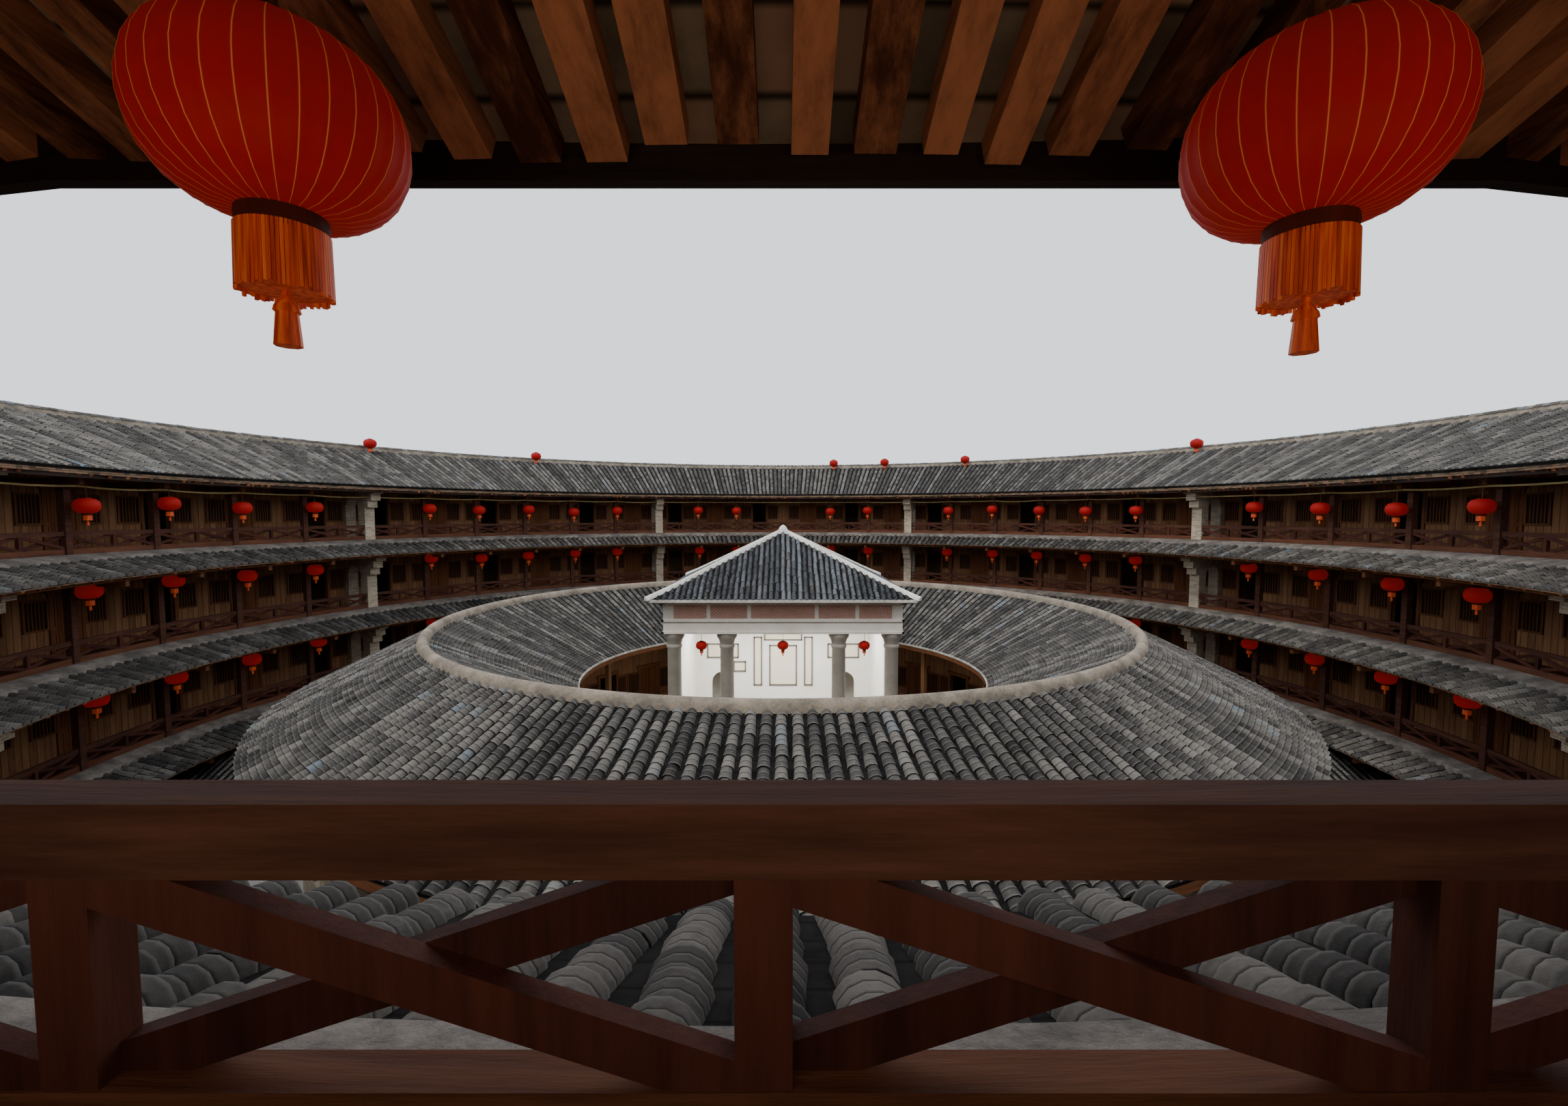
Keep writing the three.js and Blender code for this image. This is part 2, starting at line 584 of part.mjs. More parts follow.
function buildHall() {
  const steps = [0.36, 0.72].map((reach, i) =>
    hallBox(0, -PLATFORM_HALF - reach / 2 + 0.01, 1.5, reach / 2, 0, PLATFORM_TOP * (2 - i) / 3),
  );
  const platform = join([hallBox(0, 0, PLATFORM_HALF, PLATFORM_HALF, 0, PLATFORM_TOP), ...steps]);
  piece("hall_platform", platform, FINISH.stone);

  const foot = PLATFORM_TOP + GAP;
  const head = LINTEL_BOTTOM - GAP;
  const columnOutline = [
    [0, foot],
    [COLUMN_RADIUS * 1.55, foot],
    [COLUMN_RADIUS * 1.55, foot + 0.16],
    [COLUMN_RADIUS, foot + 0.42],
    [COLUMN_RADIUS * 0.92, head - 0.4],
    [COLUMN_RADIUS * 1.4, head - 0.16],
    [COLUMN_RADIUS * 1.4, head],
    [0, head],
  ].map(([radius, height]) => new THREE.Vector2(radius, height));
  COLUMNS_AT.forEach((x, i) => {
    const column = new THREE.LatheGeometry(columnOutline, 12).rotateX(Math.PI / 2);
    const place = column.translate(x, HALL_MIDDLE_Y - COLUMN_LINE, 0);
    piece(`hall_column_${i + 1}`, toSolid(place), FINISH.stone);
  });

  const inside = HALL_HALF - HALL_WALL_THICK;
  const wallFront = -COLUMN_LINE + 0.55;
  const shell = hallBox(0, (wallFront + HALL_HALF) / 2, HALL_HALF, (HALL_HALF - wallFront) / 2, foot, head);
  const room = hallBox(0, (wallFront - 1 + inside) / 2, inside, (inside - wallFront + 1) / 2, 0, head + 1);
  piece("hall_walls", shell.subtract(room), FINISH.plaster);

  const screenBody = hallBox(0, SCREEN_BACK, inside - GAP, SCREEN_THICK / 2, foot, head);
  const arches = [-SCREEN_DOOR.at, SCREEN_DOOR.at].map((x) => {
    const shape = archShape(x, SCREEN_DOOR.width, -1, SCREEN_DOOR.height + foot + 1);
    const options = { depth: 2, bevelEnabled: false, curveSegments: 5 };
    const cut = new THREE.ExtrudeGeometry(shape, options).rotateX(Math.PI / 2);
    return toSolid(cut.translate(0, HALL_MIDDLE_Y + SCREEN_BACK + 1, 0));
  });
  piece("hall_screen", screenBody.subtract(join(arches)), FINISH.plaster);

  const lintel = hallBox(0, 0, HALL_HALF, HALL_HALF, LINTEL_BOTTOM, CORNICE_BOTTOM + 0.01);
  const cornice = hallBox(0, 0, CORNICE_HALF, CORNICE_HALF, CORNICE_BOTTOM, HALL_EAVE);
  const well = hallBox(0, 0, HALL_HALF - LINTEL_THICK, HALL_HALF - LINTEL_THICK, 0, HALL_EAVE + 1);
  piece("hall_entablature", lintel.add(cornice).subtract(well), FINISH.plaster);

  const eave = HALL_EAVE + GAP;
  const outer = pyramid(HALL_EAVE_HALF, eave, HALL_APEX);
  const slope = (HALL_APEX - eave) / HALL_EAVE_HALF;
  const deeper = 1;
  const innerTop = HALL_APEX - HALL_ROOF_THICK;
  const innerHalf = (innerTop - (eave - deeper)) / slope;
  const inner = pyramid(innerHalf, eave - deeper, innerTop);
  piece("hall_roof", outer.subtract(inner), FINISH.tile);
}

buildEarthWall();
buildGates();
buildPentRoofs();
buildFireWalls();
buildGalleries();
buildMainRoof();
buildInnerRing();
buildLinks();
buildHall();

export default house;
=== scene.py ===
"""A round earth-walled clan house at half scale: its tiles, timbers, lanterns and finishes.

The house stands on the ground at the origin with its main gate towards -Y. Lengths are metres of the real
house and are halved when a mesh is made. Places round its rings are bearings in degrees from the rear, +Y,
towards the right, +X.
"""

from __future__ import annotations

import logging
import math
from collections.abc import Callable
from dataclasses import dataclass
from enum import Enum
from typing import ClassVar

import bpy
import numpy as np
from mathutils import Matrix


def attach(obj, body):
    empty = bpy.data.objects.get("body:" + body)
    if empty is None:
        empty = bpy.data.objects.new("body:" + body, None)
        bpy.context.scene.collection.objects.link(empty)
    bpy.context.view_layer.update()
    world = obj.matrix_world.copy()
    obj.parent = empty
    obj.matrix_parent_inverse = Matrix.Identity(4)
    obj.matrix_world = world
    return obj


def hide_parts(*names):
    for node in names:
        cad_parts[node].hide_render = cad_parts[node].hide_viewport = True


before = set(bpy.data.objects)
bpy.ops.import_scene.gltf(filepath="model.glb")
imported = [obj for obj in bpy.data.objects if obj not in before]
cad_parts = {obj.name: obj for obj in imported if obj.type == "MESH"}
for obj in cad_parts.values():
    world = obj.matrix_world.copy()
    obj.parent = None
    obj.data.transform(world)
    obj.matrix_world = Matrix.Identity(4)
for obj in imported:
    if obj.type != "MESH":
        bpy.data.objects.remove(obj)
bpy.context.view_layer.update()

SCALE = 0.5
BODY = "root"
log = logging.getLogger("roundhouse")

Points = np.ndarray
Faces = np.ndarray
Pair = "tuple[float, float]"
Triple = "tuple[float, float, float]"
Names = "tuple[str, ...]"


# Layout shared by the sub-assemblies

FLOORS = np.array([4.2, 7.4, 10.6])  # tops of the second, third and fourth floors
# Degrees from one post line to the next in each unit, which runs from fire wall to fire wall
WIDE_UNIT, NARROW_UNIT = (7.5,) * 6, (8,) * 5
REAR_UNIT, FRONT_UNIT = (7, 7, 8.5, 8.5, 7, 7), (7, 7, 7, 13, 7, 7, 7)
HALF_RING = (WIDE_UNIT, NARROW_UNIT, WIDE_UNIT)
UNITS = (REAR_UNIT, *HALF_RING, FRONT_UNIT, *HALF_RING)
LINES = np.cumsum([-22.5, *np.concatenate(UNITS)])
BAYS = np.stack([LINES[:-1], LINES[1:]], -1)
BAY_IN_UNIT = np.concatenate([np.arange(len(unit)) for unit in UNITS])
POSTS = BAYS[(BAY_IN_UNIT > 0) & (BAYS[:, 0] != 0), 0]
POST_RING = 21.11
SIDE_GATE = 87.5
GATES = (180.0, SIDE_GATE, 360 - SIDE_GATE)


# Points and faces

UP = np.array([0.0, 0.0, 1.0])
# Corners of a unit box, and the corners of each of its faces by number
CORNERS = np.array([[i >> 2 & 1, i >> 1 & 1, i & 1] for i in range(8)])
BOX_FACES = np.array([[0, 1, 3, 2], [4, 6, 7, 5], [0, 4, 5, 1], [2, 3, 7, 6], [0, 2, 6, 4], [1, 5, 7, 3]])


def place(bearing: Points, out: Points, up: Points = 0.0, aside: Points = 0.0) -> Points:
    """Points in the frame of a bearing: each is turned about the upright axis by the bearing.

    Args:
        bearing: degrees from the rear towards the right.
        out: distance from the centre along the bearing's line.
        up: height.
        aside: distance to the clockwise side of the line.

    Returns:
        x, y and z in the last axis.
    """
    turn = np.radians(bearing)
    x = aside * np.cos(turn) + out * np.sin(turn)
    y = out * np.cos(turn) - aside * np.sin(turn)
    return np.stack(np.broadcast_arrays(x, y, up), -1).astype(float)


def sideways(bearing: Points) -> Points:
    """Level direction across a bearing's line."""
    return place(bearing, 0.0, 0.0, 1.0)


def unit_vector(vector: Points) -> Points:
    """Each vector over its own length."""
    return vector / np.linalg.norm(vector, axis=-1, keepdims=True)


def arch(half: float, rise: float, count: int, foot: float = 0.0) -> Points:
    """Half an ellipse over its foot, from right to left: half times cosine, and rise times sine."""
    angle = np.linspace(0, np.pi, count)
    return np.stack([half * np.cos(angle), rise * np.sin(angle) + foot], -1)


def ring_faces(rings: int, sides: int, hoop: bool = False) -> Faces:
    """Faces of stacked rings: a wall from ring to ring, and a strip of faces over each end.

    Args:
        rings: number of rings.
        sides: points in a ring, an even number where there are ends.
        hoop: whether the last ring runs on into the first, so that there are no ends.

    Returns:
        Four point numbers for each face.
    """
    ring, side = np.meshgrid(np.arange(rings if hoop else rings - 1), np.arange(sides), indexing="ij")
    here, there = ring * sides, (ring + 1) % rings * sides
    after = (side + 1) % sides
    wall = np.stack([here + side, here + after, there + after, there + side], -1).reshape(-1, 4)
    step = np.arange(0 if hoop else sides // 2 - 1)
    cap = np.stack([step, sides - 1 - step, sides - 2 - step, step + 1], -1)
    return np.concatenate([wall, cap, (rings - 1) * sides + cap[:, ::-1]])


class Skin:
    """A mesh under way, gathered part by part: points, four-sided faces, and two values for each point.

    The tone picks a part's own shade. Along goes from 0 at a tile's upper end to 1 at its lower end.
    """

    def __init__(self) -> None:
        """Starts with nothing in it."""
        self.points: list[Points] = []
        self.faces: list[Faces] = []
        self.values: dict[str, list[Points]] = {"tone": [], "along": []}
        self.count = 0

    def add(self, parts: Points, faces: Faces, tone: Points = 0.5, along: Points = 0.5) -> Skin:
        """Adds closed parts that share their faces, turned outwards by the sign of each part's volume.

        The volume is the sum over the faces of the products of three corners, taken from the part's middle.

        Args:
            parts: points, (part, point, xyz), or (point, xyz) for one part.
            faces: point numbers in a part.
            tone: values that fit (part, point).
            along: values that fit (part, point).

        Returns:
            This skin.
        """
        parts = parts.reshape(-1, parts.shape[-2], 3)
        count, size = parts.shape[:2]
        a, b, c, d = np.moveaxis((parts - parts.mean(1, keepdims=True))[:, faces], 2, 0)
        inside_out = (a * (np.cross(b, c) + np.cross(c, d))).sum((1, 2)) < 0
        turned = np.where(inside_out[:, None, None], faces[None, :, ::-1], faces[None])
        first = self.count + size * np.arange(count)
        self.faces.append((turned + first[:, None, None]).reshape(-1, 4))
        self.points.append(parts.reshape(-1, 3))
        for key, value in (("tone", tone), ("along", along)):
            self.values[key].append(np.broadcast_to(value, (count, size)).reshape(-1))
        self.count += count * size
        return self

    def boxes(self, bearing: Points, aside: tuple, out: tuple, up: tuple, tone: Points = 0.5) -> Skin:
        """Adds boxes turned to their bearings: each corner takes one end of each of the three ranges.

        Args:
            bearing: one for each box.
            aside: both ends across the bearing's line, numbers or one for each box.
            out: both ends along it.
            up: both ends in height.
            tone: values that fit (box, point).

        Returns:
            This skin.
        """
        turn, *ends = (v.reshape(-1, 1) for v in np.broadcast_arrays(bearing, *aside, *out, *up))
        x, y, z = (np.concatenate(ends[2 * i : 2 * i + 2], 1)[:, CORNERS[:, i]] for i in range(3))
        return self.add(place(turn, y, z, x), BOX_FACES, tone)

    def bars(
        self, start: Points, end: Points, across: Points, width: Points, depth: float, tone: Points = 0.5
    ) -> Skin:
        """Adds straight bars: a rectangle carried from start to end, its width made square to the bar.

        Args:
            start: middle of each bar's first end.
            end: middle of its other end.
            across: direction of the width.
            width: size along across, one for all or one for each.
            depth: size square to the width and the bar.
            tone: values that fit (bar, point).

        Returns:
            This skin.
        """
        start, end, across = (v.reshape(-1, 3) for v in np.broadcast_arrays(start, end, across))
        along = unit_vector(end - start)
        across = unit_vector(across - (across * along).sum(-1, keepdims=True) * along)
        over = np.cross(along, across)[:, None] * depth
        steps = (CORNERS - np.array([0.0, 0.5, 0.5]))[None]
        across = np.reshape(width, (-1, 1, 1)) * across[:, None]
        middle = start[:, None] + steps[..., :1] * (end - start)[:, None]
        return self.add(middle + steps[..., 1:2] * across + steps[..., 2:] * over, BOX_FACES, tone)

    def ring(self, outline: Points, bearings: Points | float, tone: Points = 0.5) -> Skin:
        """Adds a ring turned about the upright axis.

        Args:
            outline: radius and height of its points, (point, 2).
            bearings: where the outline stands, or how many degrees apart.
            tone: values that fit (point,).

        Returns:
            This skin.
        """
        at = np.arange(0, 360, bearings) if np.isscalar(bearings) else bearings
        points = place(at[:, None], outline[None, :, 0], outline[None, :, 1]).reshape(-1, 3)
        return self.add(points, ring_faces(len(at), len(outline), hoop=True), tone)

    def board(self, radius: float, thick: float, low: float, high: float, bearings: Points | float) -> Skin:
        """Adds a board that runs round a ring.

        Args:
            radius: of its inner face.
            thick: how thick it is.
            low: height of its lower edge.
            high: height of its upper edge.
            bearings: of its corners, or how many degrees apart they are.

        Returns:
            This skin.
        """
        far = radius + thick
        return self.ring(np.array([[radius, low], [far, low], [far, high], [radius, high]]), bearings)

    def spindles(
        self, middle: Points, outline: Points, sides: int, tone: Points = 0.5, flute: Points = 1.0
    ) -> Skin:
        """Adds upright turned solids: at each height of the outline a circle of its radius.

        Args:
            middle: foot of each solid, (solid, xyz).
            outline: (ring, 2) of radius and height over the foot.
            sides: points in a circle, an even number.
            tone: values that fit (solid, point).
            flute: share of the radius at each side.

        Returns:
            This skin.
        """
        angle = np.linspace(0, 2 * np.pi, sides, endpoint=False)
        radius, height = outline[:, :1] * flute, outline[:, 1:]
        shape = np.stack(np.broadcast_arrays(radius * np.cos(angle), radius * np.sin(angle), height), -1)
        return self.add(middle[:, None] + shape.reshape(1, -1, 3), ring_faces(len(outline), sides), tone)

    def carried(self, path: Points, across: Points, section: Points, tone: Points = 0.5) -> Skin:
        """Adds a section carried along paths: across and the path's own normal span it at each point.

        Args:
            path: (solid, ring, xyz).
            across: level sideways direction of each solid, (solid, xyz).
            section: (side, 2) of sideways and upward distances.
            tone: values that fit (solid, point).

        Returns:
            This skin.
        """
        side = np.broadcast_to(across[:, None], path.shape)
        over = unit_vector(np.cross(side, np.gradient(path, axis=1)))
        over = (over * np.sign(over[..., 2:]))[:, :, None]
        points = path[:, :, None] + section[:, :1] * side[:, :, None] + section[:, 1:] * over
        faces = ring_faces(path.shape[1], len(section))
        return self.add(points.reshape(len(path), -1, 3), faces, tone)

    def mesh(self, name: str, finish: Finish, crease: float = 40.0) -> bpy.types.Mesh:
        """Makes a mesh in model metres, with its finish.

        Args:
            name: its name.
            finish: what it is covered with.
            crease: edges that turn by more than these degrees stay sharp.

        Returns:
            The mesh.
        """
        points, faces = np.concatenate(self.points) * SCALE, np.concatenate(self.faces)
        mesh = bpy.data.meshes.new(name)
        mesh.vertices.add(len(points))
        mesh.vertices.foreach_set("co", points.astype(np.float32).ravel())
        mesh.loops.add(faces.size)
        mesh.loops.foreach_set("vertex_index", faces.astype(np.int32).ravel())
        mesh.polygons.add(len(faces))
        mesh.polygons.foreach_set("loop_start", np.arange(0, faces.size, 4, dtype=np.int32))
        mesh.update(calc_edges=True)
        for key, values in self.values.items():
            attribute = mesh.attributes.new(key, "FLOAT", "POINT")
            attribute.data.foreach_set("value", np.concatenate(values).astype(np.float32))
        mesh.shade_smooth()
        mesh.set_sharp_from_angle(angle=math.radians(crease))
        mesh.materials.append(finish.material())
        return mesh

    def piece(self, name: str, finish: Finish, stands_for: Names = (), crease: float = 40.0) -> None:
        """Makes a piece that rides on the house.

        Args:
            name: the piece's name.
            finish: what it is covered with.
            stands_for: solids that it is shown in place of.
            crease: edges that turn by more than these degrees stay sharp.
        """
        made = bpy.data.objects.new(name, self.mesh(name, finish, crease))
        bpy.context.scene.collection.objects.link(made)
        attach(made, BODY)
        if stands_for:
            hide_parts(*stands_for)
        log.info("%s: %d triangles", name, 2 * len(made.data.polygons))


@dataclass(frozen=True)
class TileRows:
    """Rows of half-round cover tiles that run down a slope, each lapped over the next one below.

    A row's middle goes straight from its top to its foot. Every tile is a half round that widens from its
    upper to its lower end, and the next one starts narrower, so its end stands out as a lip. Tiles are set a
    little aside and up or down at random. Half of a tile's tone is its own, and half is its row's.

    Attributes:
        half: half width of a tile.
        rise: how far it stands over the bed.
        courses: tiles in a row.
        sides: points in a tile's section, an even number.
        seed: start of the random numbers.
        jog: how far tiles stray.
        spread: width at the foot over width at the top.
        sunk: how deep a tile's edges lie in the bed.
        ends: width of a tile's upper and lower end, as shares.
    """

    half: float
    rise: float
    courses: int
    sides: int
    seed: int
    jog: float = 0.008
    spread: float = 1.0
    sunk: float = 0.02
    ends: Pair = (0.9, 1.07)

    def lay(self, skin: Skin, top: Points, foot: Points, across: Points) -> None:
        """Adds the rows to a skin.

        Args:
            skin: what they are added to.
            top: upper end of each row, (row, xyz).
            foot: lower end of each row.
            across: level direction across each row.
        """
        chance = np.random.default_rng(self.seed)
        rows, tiles = len(top), self.courses
        along = np.repeat(np.linspace(0, 1, tiles + 1), 2)[1:-1]
        size = np.tile(self.ends, tiles) * (1 + (self.spread - 1) * along)
        shape = size[:, None, None] * arch(self.half, self.rise, self.sides, -self.sunk)
        over = np.cross(across, unit_vector(foot - top))
        over = over * np.sign(over[:, 2:])
        shift = np.repeat(chance.normal(0, self.jog, (rows, tiles, 2)), 2, 1) * [1.0, 0.4]
        plane = np.stack([across, over], 1)
        middle = top[:, None] + along[None, :, None] * (foot - top)[:, None] + shift @ plane
        points = middle[:, :, None] + shape[None] @ plane[:, None]
        tone = (chance.beta(2.2, 2.2, (rows, tiles)) + chance.random((rows, 1))) / 2
        end_to_end = np.tile(np.repeat([0.0, 1.0], self.sides), tiles)
        faces = ring_faces(2 * tiles, self.sides)
        skin.add(points.reshape(rows, -1, 3), faces, np.repeat(tone, 2 * self.sides, 1), end_to_end)


# Shader expressions

Value = "Expr | float"
Colour = "Expr | str"
Sockets = "dict[str, Expr | float]"


def operator(operation: str, swapped: bool = False) -> Callable[[Expr, Value], Expr]:
    """Makes the method of a Python operator, which adds one Math node.

    Args:
        operation: the node's operation.
        swapped: whether the other value comes first, as in a reflected form.

    Returns:
        The method.
    """

    def method(this: Expr, other: Value) -> Expr:
        """Works it out on this value and another."""
        pair = (other, this) if swapped else (this, other)
        return this.shader.node("Math", {"operation": operation}, dict(enumerate(pair)))

    return method


class Expr:
    """A socket that takes part in sums: each operator adds the Math node that works it out."""

    def __init__(self, shader: Shader, socket: bpy.types.NodeSocket) -> None:
        """Keeps the socket and the shader that it belongs to."""
        self.shader, self.socket = shader, socket

    __add__ = __radd__ = operator("ADD")
    __sub__ = operator("SUBTRACT")
    __rsub__ = operator("SUBTRACT", swapped=True)
    __mul__ = __rmul__ = operator("MULTIPLY")
    __truediv__ = operator("DIVIDE")
    least = operator("MINIMUM")
    most = operator("MAXIMUM")
    wrapped = operator("FLOORED_MODULO")
    bearing_over = operator("ARCTAN2")

    def math(self, operation: str) -> Expr:
        """One Math node of this value alone."""
        return self.shader.node("Math", {"operation": operation}, {0: self})

    def rise(self, low: float, high: float) -> Expr:
        """0 below low, 1 over high, and smooth between them."""
        inputs = {"Value": self, "From Min": low, "From Max": high}
        return self.shader.node("MapRange", {"interpolation_type": "SMOOTHSTEP"}, inputs)

    def groove(self, width: float) -> Expr:
        """1 where this value passes a whole number, falling to 0 within width to each side."""
        part = self.math("FRACT")
        return 1.0 - part.least(1.0 - part).rise(0.0, width)


def linear(code: str) -> tuple[float, float, float, float]:
    """A linear colour from a six-figure screen colour such as c9b184."""
    screen = [int(code[i : i + 2], 16) / 255 for i in (0, 2, 4)]
    return (*(v / 12.92 if v <= 0.04045 else ((v + 0.055) / 1.055) ** 2.4 for v in screen), 1.0)


class Shader:
    """The node tree of one material, with short ways to the nodes that the finishes use."""

    def __init__(self, tree: bpy.types.NodeTree) -> None:
        """Keeps the tree."""
        self.tree = tree

    def node(
        self, kind: str, settings: dict | None = None, inputs: dict | None = None, output: int | str = 0
    ) -> Expr:
        """Adds one node.

        Args:
            kind: its type without the leading ShaderNode.
            settings: its own settings, set first. Stops gives a ramp's (position, colour) pairs.
            inputs: values, expressions or six-figure colours for its sockets, by name or number.
            output: which output is returned.

        Returns:
            That output.
        """
        made = self.tree.nodes.new("ShaderNode" + kind)
        settings = dict(settings or {})
        for i, (position, code) in enumerate(settings.pop("stops", ())):
            elements = made.color_ramp.elements
            element = elements[i] if i < len(elements) else elements.new(1.0)
            element.position, element.color = position, linear(code)
        for key, value in settings.items():
            setattr(made, key, value)
        for key, value in (inputs or {}).items():
            if isinstance(value, Expr):
                self.tree.links.new(value.socket, made.inputs[key])
            else:
                made.inputs[key].default_value = linear(value) if isinstance(value, str) else value
        return Expr(self, made.outputs[output])

    def spot(self) -> Expr:
        """Object coordinates, in model metres."""
        return self.node("TexCoord", output="Object")

    def split(self, vector: Expr | None = None) -> tuple[Expr, Expr, Expr]:
        """The three parts of a vector, or of the object coordinates."""
        parts = self.node("SeparateXYZ", inputs={0: vector or self.spot()}).socket.node
        return tuple(Expr(self, socket) for socket in parts.outputs)

    def join(self, x: Value, y: Value, z: Value = 0.0) -> Expr:
        """A vector from three parts."""
        return self.node("CombineXYZ", inputs={0: x, 1: y, 2: z})

    def round_spot(self, radius: float) -> tuple[Expr, Expr, Expr]:
        """Where a point is on the unrolled ring, which is cut at the right side gate.

        Args:
            radius: of the ring, in model metres.

        Returns:
            Distance along the ring, distance from the upright axis, and height.
        """
        x, y, z = self.split()
        turn = math.radians(SIDE_GATE + 180)
        cos, sin = math.cos(turn), math.sin(turn)
        angle = (x * cos - y * sin).bearing_over(x * sin + y * cos)
        return angle * radius, (x * x + y * y).math("SQRT"), z

    def noise(
        self, scale: float, detail: float = 3.0, roughness: float = 0.55, vector: Expr | None = None
    ) -> Expr:
        """Cloudy values from 0 to 1, at a vector or the object coordinates."""
        inputs = {"Vector": vector or self.spot(), "Scale": scale, "Detail": detail, "Roughness": roughness}
        return self.node("TexNoise", inputs=inputs)

    def own_of(self, x: Value, y: Value) -> Expr:
        """A value of its own from 0 to 1 for each whole x and y."""
        return self.node("TexWhiteNoise", {"noise_dimensions": "3D"}, {"Vector": self.join(x, y)})

    def paint(self, base: Colour, *coats: tuple[Value, Colour]) -> Expr:
        """Lays colours over a base one after another.

        Args:
            base: the colour below them.
            coats: share and colour of each.

        Returns:
            The colour that shows.
        """
        for share, coat in coats:
            base = self.node("Mix", {"data_type": "RGBA"}, {0: share, 6: base, 7: coat}, output=2)
        return base

    def ramp(self, value: Expr, *stops: tuple[float, str]) -> Expr:
        """A colour from a ramp."""
        return self.node("ValToRGB", {"stops": stops}, {0: value})

    def part(self, name: str = "tone") -> Expr:
        """The tone of a part, or another value that it carries."""
        return self.node("Attribute", {"attribute_name": name}, output="Fac")

    def bump(self, height: Expr, depth: float, strength: float = 1.0) -> Expr:
        """A normal bent by a height of this depth in model metres."""
        return self.node("Bump", inputs={"Height": height, "Distance": depth, "Strength": strength})


# Finishes


class Finish:
    """What a surface is covered with. Each kind gives the values of its shader's sockets."""

    slot: ClassVar[str] = "timber"
    made: ClassVar[dict[str, bpy.types.Material]] = {}

    def shade(self, shader: Shader) -> Sockets:
        """Values for the sockets of the main shader node."""
        raise NotImplementedError

    def material(self) -> bpy.types.Material:
        """Makes the material of this finish once.

        Returns:
            The material.
        """
        key = repr(self)
        if key not in Finish.made:
            material = bpy.data.materials.new(type(self).__name__)
            material.use_nodes = True
            tree = material.node_tree
            tree.nodes.clear()
            shader = Shader(tree)
            surface = shader.node("BsdfPrincipled", inputs=self.shade(shader))
            output = tree.nodes.new("ShaderNodeOutputMaterial")
            tree.links.new(surface.socket, output.inputs["Surface"])
            Finish.made[key] = material
        return Finish.made[key]

    def cover(self, *prefixes: str) -> None:
        """Covers the solids that still show.

        Args:
            prefixes: how their names start.
        """
        for name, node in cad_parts.items():
            if name.startswith(prefixes) and not node.hide_render:
                node.data.materials.clear()
                node.data.materials.append(self.material())
                log.info("%s: %s", name, type(self).__name__)


@dataclass(frozen=True)
class RammedEarth(Finish):
    """Yellow earth, rammed in lifts between forms, greyer beside the windows and under the eave.

    Attributes:
        lift: height of a lift in model metres.
        radius: of the wall, in model metres.
        forms: forms in a lift, all round the wall.
        sills: height in model metres over which the wall is grey.
    """

    slot: ClassVar[str] = "rammed_earth"
    lift: float = 0.19
    radius: float = 14.2
    forms: int = 71
    sills: float = 5.62

    def shade(self, shader: Shader) -> Sockets:
        """Bands of lifts and forms with faint broken joints, worn patches, drips, and splashes at the foot.

        Args:
            shader: where its nodes are added.

        Returns:
            Values for the sockets of the main shader node.
        """
        arc, _, z = shader.round_spot(self.radius)
        x, y, _ = shader.split()
        waver = shader.noise(0.5, 5.0, 0.6, shader.join(x, y)) * 0.16
        lifts = (z + waver) / self.lift
        row = lifts.math("FLOOR")
        forms = arc * (self.forms / (math.tau * self.radius)) + row * 0.37
        own = shader.own_of(forms.math("FLOOR").wrapped(self.forms), row)
        cloud, fine = shader.noise(0.35, 6.0, 0.62), shader.noise(26.0, 6.0, 0.75)
        worn = shader.noise(0.9, 9.0, 0.7, shader.join(x, y, z * 2.2))
        drip = shader.noise(1.6, 6.0, 0.68, shader.join(x * 3.0, y * 3.0, z * 0.16))
        joint = lifts.groove(0.07).most(forms.groove(0.006) * 0.5) * worn.rise(0.42, 0.6)
        deep = (own * 0.17 + cloud * 0.6 + worn * 0.45 + fine * 0.25).rise(0.45, 0.95)
        top = (z + waver + drip * 0.16).rise(self.sills - 0.02, self.sills + 0.1)
        grey = shader.paint(
            "8f8877", ((own * 0.4 + worn * 0.8).rise(0.35, 0.85), "6f6a5f"),
            (fine.rise(0.5, 0.75) * 0.4, "aaa18d"),
        )
        base = shader.paint(
            "cdb687", (deep, "b3935e"), (fine.rise(0.45, 0.75) * 0.35, "e3d3a8"),
            ((worn + cloud * 0.3).rise(0.71, 0.79) * 0.6, "94703f"), (top * 0.92, grey),
            (drip.rise(0.6, 0.72) * z.rise(3.0, 5.6) * 0.5, "dccfa9"),
            ((1.0 - drip).rise(0.56, 0.72) * (z.rise(1.0, 5.6) * 0.45 + 0.1), "756a52"),
            ((1.0 - z.rise(0.5, 1.5)) * worn.rise(0.35, 0.62) * 0.6, "80663f"), (joint * 0.4, "6b5636"),
        )
        height = fine * 0.45 + worn * 1.1 + own * 0.12 - joint * 0.5
        return {"Base Color": base, "Roughness": 0.96, "Normal": shader.bump(height, 0.03, 0.9)}


